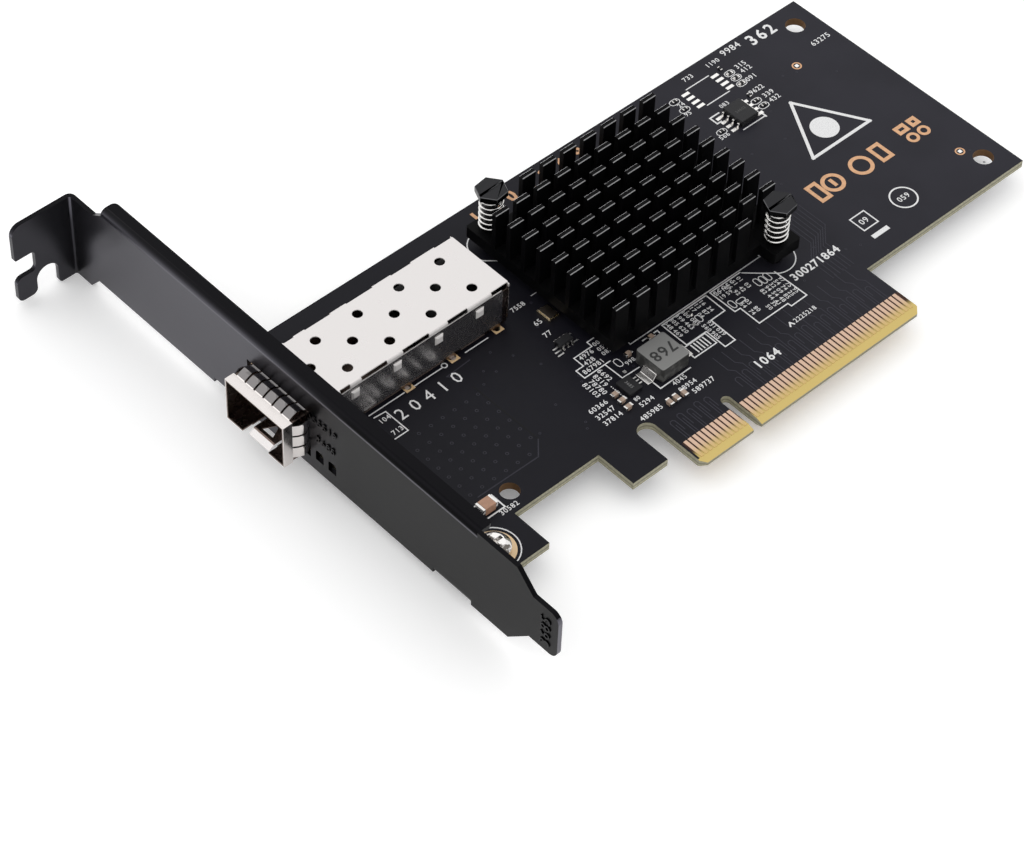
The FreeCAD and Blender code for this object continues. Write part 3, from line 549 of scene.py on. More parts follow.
def eased(mesh, width, segments=2, degrees=30.0, keep=None, material=-1):
    """Every sharp edge whose ends pass a test gets a narrow round."""
    limit = math.radians(degrees)
    edges = [e for e in mesh.edges if len(e.link_faces) == 2 and e.calc_face_angle(0.0) > limit
             and (keep is None or keep(e.verts[0].co, e.verts[1].co))]
    bmesh.ops.bevel(mesh, geom=edges, offset=width, offset_type="OFFSET", segments=segments, profile=0.5,
                    affect="EDGES", clamp_overlap=True, material=material)


def paint(node, material):
    """A carried-over solid gets its finish on its own material slots."""
    data = NODES[node].data
    if not data.materials:
        data.materials.append(material)
    for index in range(len(data.materials)):
        data.materials[index] = material


def dress(node, materials, width, segments=2, degrees=30.0, keep=None, edge=-1):
    """A solid's own shape with eased edges, shown in its place."""
    mesh = merged_copy(node)
    eased(mesh, width, segments, degrees, keep, edge)
    piece = finished(mesh, node + "_finish", materials)
    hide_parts(node)


# ---- marking ink and copper relief
LAYERS = 7               # marks that cross each other lie in so many layers
LAYER_RISE = 0.0012
RELIEF, HOLLOW, PRINT, INK, PAD, PRESSED = 0.012, 0.016, 0.015, 0.02, 0.03, 0.2    # thicknesses


class Inking:
    """Thin flat marks on a level: lines, arcs, dots, outlines and plain numbers."""

    def __init__(self, level, thickness, width, first=11):
        self.mesh = bmesh.new()
        self.level = level
        self.thickness = thickness
        self.width = width
        self.count = first
        self.layer = 0

    def settle(self, made, x, y):
        """New vertices go to their place, a hair above the mark before them where marks cross."""
        self.layer = (self.layer + 1) % LAYERS
        height = self.level + self.thickness / 2 + LAYER_RISE * self.layer
        bmesh.ops.translate(self.mesh, vec=(x, y, height), verts=made)

    def stroke(self, start, end, width=None):
        """A straight mark with square ends that overlap at corners."""
        width = width or self.width
        square_ends = width * 0.96
        start, end = Vector(start), Vector(end)
        run = end - start
        made = bmesh.ops.create_cube(self.mesh, size=1.0)["verts"]
        bmesh.ops.scale(self.mesh, vec=(run.length + square_ends, width, self.thickness), verts=made)
        turned(self.mesh, made, math.atan2(run.y, run.x))
        middle = (start + end) / 2
        self.settle(made, middle.x, middle.y)

    def path(self, points, closed=False, width=None):
        """Strokes through points, back to the first when closed."""
        points = list(points)
        ends = points[1:] + ([points[0]] if closed else [])
        for start, end in zip(points, ends):
            self.stroke(start, end, width)

    def box(self, x0, x1, y0, y1):
        """A rectangle's outline."""
        self.path([(x0, y0), (x1, y0), (x1, y1), (x0, y1)], True)

    def hairpin(self, x, top, side, end):
        """A conductor that goes up from the contacts, turns over to one side and comes back."""
        self.path([(x, TRACE_START), (x, top), (x + side * 0.3, top + 0.35), (x + side * 0.75, top + 0.35),
                   (x + side * 1.05, top), (x + side * 1.05, end)])

    def arc(self, x, y, radius, start=0.0, end=360.0, steps=36, width=None):
        """A ring or part of one, turned about its middle."""
        width = width or self.width
        whole = end - start >= 360
        made = bmesh.ops.create_grid(self.mesh, x_segments=1, y_segments=1, size=0.5)["verts"]
        faces = made[0].link_faces[:]
        edges = faces[0].edges[:]
        bmesh.ops.scale(self.mesh, vec=(width, self.thickness, 1), verts=made)
        turned(self.mesh, made, RIGHT_ANGLE, "X")
        bmesh.ops.translate(self.mesh, vec=(radius, 0, 0), verts=made)
        turned(self.mesh, made, math.radians(start))
        self.settle(made, x, y)
        if whole:
            bmesh.ops.delete(self.mesh, geom=faces, context="FACES_ONLY")
        bmesh.ops.spin(self.mesh, geom=edges if whole else faces, cent=(x, y, 0), axis=(0, 0, 1),
                       angle=math.radians(end - start), steps=max(3, int(steps * (end - start) / 360)),
                       use_merge=whole, use_duplicate=False)

    def lozenge(self, x, y, length=2.2, width=1.3):
        """A round-ended outline along X, or along Y when its length is the smaller."""
        radius = min(length, width) / 2
        reach = max(length, width) / 2 - radius
        along = Vector((1, 0)) if length > width else Vector((0, 1))
        across = Vector((-along.y, along.x))
        centre = Vector((x, y))
        points = []
        for side in (1, -1):
            for i in range(5):
                turn = math.radians(-90 + 45 * i)
                points.append(centre + side * (along * (reach + radius * math.cos(turn))
                                               + across * radius * math.sin(turn)))
        self.path(points, True, LOZENGE_LINE)

    def dot(self, x, y, radius, sides):
        """A filled round."""
        made = bmesh.ops.create_cone(self.mesh, cap_ends=True, segments=sides, radius1=radius,
                                     radius2=radius, depth=self.thickness)["verts"]
        self.settle(made, x, y)

    def patch(self, x, y, length, width):
        """A filled rectangle."""
        made = bmesh.ops.create_cube(self.mesh, size=1.0)["verts"]
        bmesh.ops.scale(self.mesh, vec=(length, width, self.thickness), verts=made)
        self.settle(made, x, y)

    def piece(self, name, slot, material):
        """The marks become one piece."""
        bmesh.ops.recalc_face_normals(self.mesh, faces=self.mesh.faces)
        finished(self.mesh, name, [material], 20)

    def digits(self, count):
        """The next plain number of so many digits, the same on every run."""
        self.count = self.count * 7 % 9973 + 11
        return str(self.count * 131 + 1048576)[-count:]

    def number(self, text, x, y, height=1.0, turn=0, weight=0.01, spacing=1.12):
        """A plain number, its middle on a place of the surface."""
        curve = bpy.data.curves.new("number", "FONT")
        curve.body = self.digits(text) if isinstance(text, int) else text
        curve.size = height * 1.4
        curve.align_x = curve.align_y = "CENTER"
        curve.extrude = self.thickness / 2
        curve.offset = weight * height
        curve.space_character = spacing
        curve.resolution_u = 2
        holder = placed("number", curve)
        bpy.context.view_layer.update()
        flat = bpy.data.meshes.new_from_object(holder.evaluated_get(bpy.context.evaluated_depsgraph_get()))
        before = set(self.mesh.verts)
        self.mesh.from_mesh(flat)
        made = [v for v in self.mesh.verts if v not in before]
        turned(self.mesh, made, math.radians(turn))
        self.settle(made, x, y)
        bmesh.ops.remove_doubles(self.mesh, verts=made, dist=0.001)
        bpy.data.objects.remove(holder)
        bpy.data.curves.remove(curve)
        bpy.data.meshes.remove(flat)


# Numbers on the board: digits, middle x and y, then digit height and turn where they aren't the usual.
BOARD_NUMBERS = (
    (3, -44.9, 41.3), (3, -44.9, 38.1), (4, -10.3, 29.9), (3, -10.9, 28.5), (6, -11.2, 27.2),
    (3, -6.9, 30.7, 0.9), (3, -7.1, 29.4, 0.9), (3, -7.2, 28.2, 0.9), (5, -15.2, 23.6, 1.0, -90),
    (5, -13.9, 23.4, 1.0, -90), (4, -12.6, 24.2, 1.0, -90), (4, -11.2, 24.6, 1.0, -90),
    (5, -16.9, 20.2, 1.05), (5, -16.9, 18.45, 1.05), (5, -16.8, 16.75, 1.05), (4, -10.0, 15.8),
    (2, -10.8, 17.3, 0.8), (4, -2.6, 15.6), (6, -11.2, 13.5, 1.05), (5, -2.4, 13.9),
    (6, -0.4, 12.2, 1.05), (7, 23.9, 12.25, 0.95), (3, 50.4, 66.85, 1.05), (4, 56.6, 66.75, 1.05),
    (3, 60.1, 63.1, 1.1), (3, 60.1, 61.7, 1.1), (3, 59.2, 59.5, 1.1), (4, 57.6, 56.6, 1.1),
    (3, 58.5, 54.5, 1.1), (3, 58.5, 52.9, 1.1), (3, 50.4, 57.6, 0.95), (3, 44.6, 51.8), (2, 43.8, 60.2),
    (2, 44.5, 62.6), (5, 76.1, 58.3, 1.2), (4, 61.75, 67.3, 1.5), (4, -11.4, 45.45),
    (2, -11.3, 40.6, 1.1), (2, -11.9, 37.6, 1.1), (3, -5.8, 24.0, 0.9), (5, -42.5, 14.0),
    (3, 57.2, 20.3, 1.2), (2, 47.7, 20.9, 1.3),
)

# Larger numbers: text, middle x and y, digit height, turn, weight and spacing.
LARGE_NUMBERS = (
    ("20410", -36.0, 40.3, 2.5, 0, 0.0, 1.75), ("1064", 11.8, 9.35, 1.8, 0, 0.03, 1.15),
    ("300271864", 33.9, 19.4, 1.65, 0, 0.03, 1.1), ("362", 68.8, 66.3, 2.6, 0, 0.03, 1.3),
)

# Areas full of small numbers: x0, x1, y0, y1, pitch along X, pitch along Y, digits, turn.
CROWDED_AREAS = (
    (4.6, 9.0, 21.4, 25.6, 1.35, 2.3, 3, -90), (10.4, 13.8, 22.5, 25.6, 1.15, 1.9, 2, -90),
    (9.1, 10.5, 16.6, 21.0, 1.2, 2.2, 3, -90), (16.3, 18.0, 23.9, 25.4, 1.6, 1.15, 2, 0),
    (18.8, 22.2, 22.7, 25.3, 1.3, 1.9, 2, -90), (17.5, 19.6, 16.6, 20.6, 1.15, 2.1, 2, -90),
    (22.4, 26.8, 16.4, 20.6, 1.1, 1.7, 2, -90), (20.5, 21.8, 16.7, 17.4, 1.2, 1.2, 2, -90),
)

# Outlines: width, closed, then points.
BOARD_OUTLINES = (
    (0.22, False, (-46.0, 42.7), (-43.65, 42.5), (-43.6, 37.0), (-46.45, 37.0)),
    (0.22, False, (-46.3, 43.58), (-38.65, 43.58)),
    (0.22, False, (-36.4, 43.58), (-30.35, 43.58)),
    (0.22, False, (-25.0, 43.58), (-20.0, 43.58)),
    (0.22, False, (-6.2, 31.9), (-8.25, 31.9), (-8.25, 30.7), (-12.4, 30.7), (-12.4, 28.4), (-14.1, 28.4),
     (-14.1, 26.3), (-8.3, 26.3)),
    (0.22, False, (-9.5, 26.3), (-9.4, 22.2), (-5.6, 22.1)),
    (0.24, True, (14.4, 26.4), (14.3, 21.8), (10.95, 21.75), (10.8, 15.9), (8.45, 15.9), (8.5, 20.45),
     (3.85, 20.45), (3.9, 26.4)),
    (0.24, False, (27.2, 22.6), (27.35, 15.15), (23.55, 15.1), (23.5, 15.9), (16.6, 15.9), (16.65, 20.45),
     (15.4, 20.5), (15.35, 26.4), (22.6, 26.4)),
    (0.24, True, (2.8, 17.5), (8.0, 17.5), (8.0, 20.3), (2.8, 20.3)),
    (0.22, True, (-3.1, 26.8), (27.9, 26.8), (27.9, 57.8), (-3.1, 57.8)),
    (0.22, False, (-8.5, 57.4), (-6.1, 55.3), (-3.1, 52.6)),
    (0.22, False, (27.6, 21.8), (25.3, 23.8), (22.8, 26.1)),
    (0.24, False, (-1.0, 26.0), (2.5, 26.05), (2.4, 25.4)),
    (0.24, False, (0.7, 16.4), (-6.3, 16.35), (-6.3, 18.0)),
    (0.22, False, (48.0, 64.85), (53.6, 64.85)),
    (0.22, False, (48.0, 59.5), (53.6, 59.5)),
    (0.3, False, (48.1, 56.75), (45.9, 56.75), (45.9, 54.9), (46.9, 54.9)),
    (0.24, False, (48.4, 50.75), (53.6, 50.75)),
    (0.35, False, (53.9, 50.6), (53.9, 51.7)),
    (0.25, True, (46.0, 19.2), (49.5, 19.2), (49.5, 22.7), (46.0, 22.7)),
    (0.95, False, (46.4, 17.15), (49.4, 17.15)),
    (0.62, True, (59.7, 50.1), (52.4, 37.5), (67.05, 37.55)),
    (0.28, True, (-47.9, 14.7), (-42.8, 14.7), (-42.8, 17.9), (-47.9, 17.9)),
    (0.16, False, (-7.9, 45.9), (-6.1, 45.9), (-6.1, 44.0)),
    (0.3, False, (20.0, 11.9), (20.5, 12.6), (20.9, 11.9)),
)

# Round-ended outlines round small parts: x, y, then length and width where they aren't the usual.
BOARD_LOZENGES = (
    (57.0, 62.8), (57.1, 61.2), (56.8, 59.5), (55.4, 54.5), (55.6, 52.8), (45.0, 52.9), (44.1, 63.9),
    (44.1, 61.3), (-7.55, 25.1, 1.1, 1.9), (16.3, 22.0, 0.9, 1.9), (9.7, 23.4, 0.9, 1.7),
    (24.3, 22.6, 0.9, 1.9), (25.4, 22.6, 0.9, 1.9), (18.0, 21.7, 1.9, 0.9), (23.2, 22.8, 0.9, 1.9),
)
LOZENGE_LINE = 0.14

# Rings and parts of rings: x, y, radius, then start, end, steps and width where they aren't the usual.
BOARD_RINGS = (
    (-5.0, 59.3, 3.95, 60, 208), (29.5, 25.2, 3.9, -119, 30), (-50.1, 9.45, 4.4),
    (57.2, 20.3, 2.5, 0, 360, 36, 0.3), (-29.63, 43.74, 0.5, 0, 360, 12), (-49.2, 13.4, 0.45, 0, 360, 10),
)

# Sights for the machine that places the parts.
FIDUCIALS = ((67.64, 56.18), (73.32, 21.58))

# Relief: the field of plated holes, and where the contacts' conductors start.
HOLE_FIELD = [(i, j, -45.35 + 2.6 * i, 20.15 + 2.53 * j) for i in range(7) for j in range(7)]
FIELD_CORNERS = ((0, 6), (6, 0))
TRACE_START = 5.7

# Bare pads: x, y, length along X, length along Y.
BOARD_PADS = (
    (57.0, 62.8, 1.5, 0.6), (57.1, 61.2, 1.5, 0.6), (56.8, 59.5, 1.5, 0.6), (-37.6, 43.95, 0.9, 0.5),
    (-27.4, 43.76, 0.9, 0.5), (-13.1, 34.3, 1.4, 0.3), (-13.3, 33.5, 1.4, 0.3), (-13.4, 32.7, 1.4, 0.3),
    (-9.4, 35.2, 1.2, 0.3), (-9.4, 33.4, 1.2, 0.3), (-7.9, 20.9, 0.7, 0.25), (-7.9, 20.2, 0.7, 0.25),
    (-7.9, 19.5, 0.7, 0.25), (9.3, 25.2, 0.5, 1.3), (8.1, 22.97, 0.6, 0.6), (-8.15, 22.97, 0.6, 0.6),
)

# Rows of four pads for a chip's leads: the first one's x, y and length along X.
LEAD_PADS = ((47.05, 64.05, 1.7), (54.45, 64.05, 1.7), (47.2, 55.66, 1.4), (53.65, 55.66, 1.4))
LEAD_PITCH, LEAD_PAD_WIDTH = 1.28, 0.66


# ---- settings
def tint(label, note, color):
    """A colour setting."""
    return FloatVectorProperty(name=label, description=note, subtype="COLOR", default=color, min=0, max=1)


def size(label, note, default, **more):
    """A width, a distance, an angle or a strength."""
    return FloatProperty(name=label, description=note, default=default, **more)


class CardBoardSettings(bpy.types.PropertyGroup):
    """Colours and line widths of the board."""
    # Near and far mask colours: the far one is lighter, a painted light that grows along the board.
    mask: tint("Mask", "Colour of the solder mask near the bracket", (0.0078, 0.0076, 0.0118))
    mask_far_painted_light: tint("Far mask", "Colour of the solder mask at the far end", (0.0235, 0.0228, 0.0310))
    edge: tint("Edge", "Colour of the cut laminate", (0.42, 0.40, 0.29))
    edge_core: tint("Core", "Colour of the line inside the cut edge", (0.16, 0.15, 0.11))
    bevel: tint("Bevel", "Colour of the connector's bevel", (0.67, 0.51, 0.18))
    hole: tint("Hole", "Colour of the drilled holes' walls", (0.17, 0.095, 0.045))
    gap: tint("Gap", "Colour between the contacts' upper ends", (0.050, 0.023, 0.016))
    copper: tint("Copper mark", "Colour of the bare metal marks", (0.76, 0.42, 0.22))
    ink_width: size("Ink width", "Width of a marking line in mm", 0.22, min=0.05, max=1)
    trace_width: size("Trace width", "Width of a conductor's relief in mm", 0.16, min=0.05, max=1)


class CardMetalSettings(bpy.types.PropertyGroup):
    """Colours of the sheet metal and the plating."""
    gold: tint("Gold", "Colour of the contacts", (0.60, 0.42, 0.315))
    gold_warm: tint("Warm gold", "Colour of the contacts at the edge", (0.56, 0.40, 0.165))
    bracket: tint("Bracket", "Colour of the bracket", (0.080, 0.078, 0.091))
    tin: tint("Cage", "Colour of the cage's cover", (0.70, 0.675, 0.665))
    collar: tint("Collar", "Colour of the spring collar", (0.75, 0.71, 0.69))
    # Painted shade: the far darker colour of the collar's upward-facing fingers.
    fingers: tint("Fingers", "Colour of the collar's rubbed upper fingers", (0.20, 0.19, 0.19))
    # Painted shade: the darker colour given to the cage's inside.
    inside: tint("Inside", "Colour of the cage's oiled inside", (0.17, 0.13, 0.112))


class CardHeatsinkSettings(bpy.types.PropertyGroup):
    """Look of the finned block, its pins and springs."""
    body: tint("Body", "Colour of the anodising", (0.0032, 0.0032, 0.0036))
    # The blades' lighter edge colour; painted light makes it lighter still on the side away from the
    # connector.
    blade_edge_color: tint("Blade edge", "Colour of the blades' rubbed edges", (0.33, 0.33, 0.335))
    edge_width: size("Edge width", "Width of the rubbed edges in mm", 0.115, min=0.01, max=0.4)
    turns: IntProperty(name="Turns", description="Turns of each spring", default=6, min=2, max=20)


class CardStageSettings(bpy.types.PropertyGroup):
    """Camera, floor and light."""
    elevation: size("Elevation", "Camera's height angle", math.radians(48.571), subtype="ANGLE")
    azimuth: size("Azimuth", "Camera's turn about Z", math.radians(-44.722), subtype="ANGLE")
    roll: size("Roll", "Camera's roll", math.radians(2.466), subtype="ANGLE")
    lens: size("Lens", "Focal length in mm", 115.174, min=20, max=300)
    distance: size("Distance", "From the camera to the board's plane", 0.533186, min=0.1,
                   subtype="DISTANCE")
    light: size("Light", "Strength of the soft light", 1.0, min=0)


# ---- operators
class CARD_OT_board(bpy.types.Operator):
    """Give the board its mask, its copper relief and its marking ink"""
    bl_idname = "card.board"
    bl_label = "Board"

    def execute(self, context):
        look = context.scene.card_board
        paint("circuit_board", finish("board_mask", board_finish))
        self.relief(look)
        self.ink(look)
        self.pads(look)
        return {"FINISHED"}

    def relief(self, look):
        """Conductors under the mask, the plated holes and the edge of the copper pour, with a painted
        highlight along the pour's lower edge and painted shade along its other edge and in the holes.
        """
        marks = Inking(BOARD_TOP, RELIEF, look.trace_width)
        for i, j, x, y in HOLE_FIELD:
            if (i, j) not in FIELD_CORNERS:
                marks.arc(x, y, 0.27, steps=8, width=0.14)
        # Painted highlight: a lighter line along the lower edge of the copper pour.
        marks.path([(-29.05, 21.6), (-31.6, 18.85), (-44.7, 19.0)], False, 0.2)
        marks.path([(-25.6, 41.9), (-31.0, 41.6), (-29.3, 39.6)], False, 0.2)
        for i in range(16):
            x = 5.3 + 2.1 * i
            top = 9.4 + 0.45 * (i % 3)
            marks.hairpin(x, top, -1, 7.7)
            marks.path([(x + 0.55, TRACE_START), (x + 0.55, top + 1.5), (x - 0.3, top + 2.5),
                        (x - 0.3, 15.4)])
        for i in range(5):
            x = -10.6 + 1.95 * i
            top = 9.7 + 0.4 * (i % 2)
            marks.hairpin(x, top, 1, 7.4)
            marks.path([(x + 0.5, TRACE_START), (x + 0.5, top - 0.8)])
        for i in range(7):
            x, low = 42.0 - 0.85 * i, 24.8 - 0.25 * i
            marks.path([(x, 31.0), (x, low), (x - 3.2, low - 3.2), (x - 3.2, 15.0)])
        dice = random.Random(7)
        stray_holes = 70
        for _ in range(stray_holes):
            marks.arc(dice.uniform(-28.0, 77.0), dice.uniform(14.5, 66.5), 0.2, steps=6, width=0.12)
        marks.piece("board_relief", "board", finish("mask_over_copper_and_highlight", scaled_mask_finish(1.5)))
        # Painted shade: a dark line along the pour's other edge and dark dots in the plated holes.
        lows = Inking(BOARD_TOP, HOLLOW, 0.26)
        lows.stroke((-29.2, 37.0), (-29.0, 21.7))
        for i, j, x, y in HOLE_FIELD:
            lows.dot(x, y, 0.16, 8)
        lows.piece("board_hollows", "board", finish("painted_shade_in_hollows", scaled_mask_finish(0.15)))

    def ink(self, look):
        """Part outlines and plain numbers."""
        marks = Inking(BOARD_TOP, INK, look.ink_width)
        for width, closed, *points in BOARD_OUTLINES:
            marks.path(points, closed, width)
        for place in BOARD_LOZENGES:
            marks.lozenge(*place)
        for ring in BOARD_RINGS:
            marks.arc(*ring)
        marks.dot(59.7, 41.7, 2.7, 28)
        for i in range(9):
            marks.dot(-12.15, 22.0 - 0.45 * i, 0.12, 6)
        for i in range(5):
            marks.stroke((4.3 + 0.7 * i, 18.0), (4.3 + 0.7 * i, 19.9), 0.26)
            marks.arc(16.0 + 1.0 * i, 25.75, 0.3, 40, 320, 12, 0.16)
        for number in BOARD_NUMBERS:
            marks.number(*number)
        for x0, x1, y0, y1, pitch_x, pitch_y, digits, turn in CROWDED_AREAS:
            for i in range(int((x1 - x0) / pitch_x) + 1):
                for j in range(int((y1 - y0) / pitch_y) + 1):
                    marks.number(digits, x0 + i * pitch_x, y1 - j * pitch_y, 0.85, turn)
        for number in LARGE_NUMBERS:
            marks.number(*number)
        marks.piece("board_ink", "board", finish("marking_ink", ink_finish))

    def pads(self, look):
        """Bare soldered pads and the marks left in bare copper."""
        pads = Inking(BOARD_TOP, PAD, 0.5)
        for place in BOARD_PADS:
            pads.patch(*place)
        for i in range(4):
            for x, y, length in LEAD_PADS:
                pads.patch(x, y - LEAD_PITCH * i, length, LEAD_PAD_WIDTH)
        for x, y in FIDUCIALS:
            pads.patch(x, y, 0.7, 0.7)
        pads.piece("board_pads", "tin", finish("bare_pad", metal((0.86, 0.85, 0.83), 0.35)))
        marks = Inking(BOARD_TOP, INK, 0.75)
        for x, y in FIDUCIALS:
            marks.arc(x, y, 0.8, steps=20, width=0.28)
        marks.box(45.9, 47.9, 29.0, 33.0)
        marks.arc(50.6, 31.0, 1.9, steps=32)
        marks.stroke((50.6, 30.4), (50.6, 31.6))
        marks.arc(57.5, 30.7, 2.0, steps=32)
        marks.box(61.4, 63.6, 28.9, 32.6)
        for x0, x1 in ((68.7, 70.6), (72.0, 73.4)):
            marks.box(x0, x1, 31.6, 33.0)
        for x in (69.7, 72.5):
            marks.arc(x, 29.5, 0.95, steps=24, width=0.6)
        marks.number("1 8 0 4 2 6 9", 10.0, 65.6, 2.6, 0, 0.05, 1.35)
        bare = finish("bare_copper_mark", moulded(look.copper, 0.4, 0.2))
        marks.piece("board_copper_marks", "board", bare)


class CARD_OT_contacts(bpy.types.Operator):
    """Plate the edge contacts and pads"""
    bl_idname = "card.contacts"
    bl_label = "Contacts"

    def execute(self, context):
        for node in ("contacts_component_side", "contacts_solder_side", "port_contacts"):
            paint(node, finish("gold_plating", gold_finish))
        paint("gold_pads", finish("gold_pad", pad_finish))
        return {"FINISHED"}


class CARD_OT_bracket(bpy.types.Operator):
    """Finish the folded bracket, its pressed numbers and its screws"""
    bl_idname = "card.bracket"
    bl_label = "Bracket"

    def execute(self, context):
        black = finish("bracket_black", bracket_finish)
        dress("bracket", [black], 0.1)
        self.pressed(40.2, 10.6, 1.5, 0, 6)
        self.pressed(39.4, 6.6, 1.5, 0, 4)
        self.pressed(-11.7, 7.7, 2.2, 90, 4)
        dress("bracket_screws", [finish("screw_steel", screw_finish)], 0.08, 2, 25)
        return {"FINISHED"}

    def pressed(self, y, z, height, turn, digits):
        """A plain number standing a little out of the bracket's face."""
        marks = Inking(0.0, PRESSED, 0.2, digits)
        marks.number(digits, 0, 0, height, turn, 0.0, 1.15)
        upright = Matrix(((0, 0, -1), (-1, 0, 0), (0, 1, 0)))
        bmesh.ops.rotate(marks.mesh, cent=(0, 0, 0), matrix=upright, verts=marks.mesh.verts)
        bmesh.ops.translate(marks.mesh, vec=(BRACKET_FACE, y, z), verts=marks.mesh.verts)
        look = bpy.context.scene.card_metal
        # Painted shade: the pressed number gets the bracket's colour at about an eighth of its brightness.
        marks.piece("bracket_number_%d_%d" % (digits, int(z)), "bracket",
                    finish("bracket_number", metal(scaled(look.bracket, 0.12), 0.2)))


class CARD_OT_cage(bpy.types.Operator):
    """Finish the module cage and its sprung collar"""
    bl_idname = "card.cage"
    bl_label = "Module cage"

    def execute(self, context):
        dress("cage_cover", [finish("cage_tin", cage_finish)], 0.09)
        dress("cage_body", [finish("cage_inner_tin", cage_inner_finish)], 0.03, 1)
        dress("cage_spring_collar", [finish("collar_strip", spring_collar_finish)], 0.03, 1, 25)
        paint("port_connector", finish("connector_black", moulded((0.02, 0.02, 0.02), 0.45)))
        paint("status_lights", finish("light_lens", moulded((0.72, 0.74, 0.68), 0.25, 0.2, 3.0, 0.3)))
        return {"FINISHED"}


class CARD_OT_heatsink(bpy.types.Operator):
    """Finish the finned block, its pins and springs, and the chip under it"""
    bl_idname = "card.heatsink"
    bl_label = "Heatsink"

    def execute(self, context):
        look = context.scene.card_heatsink
        top = span("heatsink")[1].z - 0.01
        black = finish("heatsink_anodised", heatsink_finish)
        contrasting = finish("heatsink_contrasting_edge", contrasting_finish)
        dress("heatsink", [black, contrasting], look.edge_width, 1, 30,
              lambda a, b: a.z > top and b.z > top and abs(a.x - b.x) > 1.0, 1)
        head_height = 1.25
        head_low = span("heatsink_pins")[1].z - head_height
        head = finish("pin_oxide", metal((0.030, 0.030, 0.032), 0.3))
        rim = finish("pin_rim", metal((0.11, 0.11, 0.115), 0.3))
        dress("heatsink_pins", [head, rim], 0.09, 1, 40, lambda a, b: min(a.z, b.z) > head_low, 1)
        self.springs(look)
        paint("controller_chip", finish("chip_black", chip_black))
        paint("thermal_pad", finish("thermal_pad_grey", moulded((0.45, 0.46, 0.5), 0.7, 0.6, 4.0)))
        return {"FINISHED"}

    def springs(self, look):
        """Round wire turned into each spring."""
        low, high = span("heatsink_springs")
        wire = 0.225
        radius = 1.975
        coil = bmesh.new()
        steps = 40
        rise = (high.z - low.z - 2 * wire) / look.turns / steps
        for x, y in ((high.x - radius - wire, low.y + radius + wire),
                     (low.x + radius + wire, high.y - radius - wire)):
            ring = bmesh.ops.create_circle(coil, cap_ends=True, radius=wire, segments=10)["verts"]
            turned(coil, ring, RIGHT_ANGLE, "X")
            bmesh.ops.translate(coil, vec=(x + radius, y, low.z + wire), verts=ring)
            bmesh.ops.spin(coil, geom=ring[0].link_faces[:], cent=(x, y, 0), axis=(0, 0, 1),
                           dvec=(0, 0, rise), angle=math.radians(360) * look.turns,
                           steps=steps * look.turns, use_duplicate=False)
        bmesh.ops.recalc_face_normals(coil, faces=coil.faces)
        piece = finished(coil, "heatsink_springs_finish",
                         [finish("spring_wire", metal((0.80, 0.79, 0.77), 0.16))], 50)
        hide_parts("heatsink_springs")


class CARD_OT_small_parts(bpy.types.Operator):
    """Finish the parts soldered round the controller"""
    bl_idname = "card.small_parts"
    bl_label = "Small parts"

    def execute(self, context):
        tin = finish("solder_tin", metal((0.76, 0.74, 0.72), 0.22, 0.06, 0.2, 2.0))
        black = finish("chip_black", chip_black)
        tan = finish("capacitor_tan", moulded((0.42, 0.31, 0.24), 0.4))
        brown = finish("capacitor_brown", moulded((0.51, 0.28, 0.18), 0.4))
        dress("inductor_body", [finish("inductor_grey", inductor_finish)], 0.15)
        dress("inductor_terminals", [tin], 0.05, 1)
        dress("power_regulator", [black], 0.05, 1)
        gold_and_rim_highlight = finish("crystal_gold_and_rim_highlight", metal((0.88, 0.77, 0.56), 0.25))
        dress("crystal_base", [gold_and_rim_highlight], 0.04, 1)
        lid = finish("crystal_lid_metal", metal((0.26, 0.215, 0.18), 0.3))
        # Painted highlight: the lid's eased rim gets the bright gold-coloured finish of the base.
        dress("crystal_lid", [lid, gold_and_rim_highlight], 0.07, 1, edge=1)
        for node in ("memory_chip", "level_chip"):
            dress(node, [black], 0.08, 1)
            dress(node + "_leads", [tin], 0.03, 1)
        dress("capacitor_bodies", [tan], 0.05)
        dress("capacitor_caps", [tin], 0.06)
        dress("resistor_bodies", [black], 0.03, 1)
        dress("resistor_caps", [tin], 0.04, 1)
        dress("input_capacitor_body", [brown], 0.08)
        dress("input_capacitor_caps", [tin], 0.1)
        self.numbers()
        return {"FINISHED"}

    def numbers(self):
        """Plain numbers printed on the larger parts."""
        for node, slot, height, count, turn, shade in (("inductor_body", "ferrite", 2.3, 3, 180, 0.02),
                                                       ("power_regulator", "chip", 0.6, 4, -90, 0.16),
                                                       ("memory_chip", "chip", 0.6, 5, 0, 0.05)):
            low, high = span(node)
            marks = Inking(high.z, PRINT, 0.2, count)
            marks.number(count, (low.x + high.x) / 2, (low.y + high.y) / 2, height, turn, 0.02)
            print_look = moulded((shade, shade, shade), 0.5, 0.1)
            marks.piece(node + "_number", slot, finish(node + "_print", print_look))


# Area lamps: name, place and size in metres, and power in watts.
LAMPS = (
    ("softbox", (0.62, 0.66, 1.0), 1.6, 1.2), ("key", (-0.3, 0.75, 0.8), 1.0, 1.2),
    ("front", (-0.7, -0.6, 0.6), 0.7, 0.4),
)
LAMP_TARGET = Vector((0.0, 0.035, 0.0))
CAMERA_TARGET = Vector((-30.966, 25.811, BOARD_TOP)) * MM
SENSOR_WIDTH = 36.0
FLOOR_HALF = 3.0


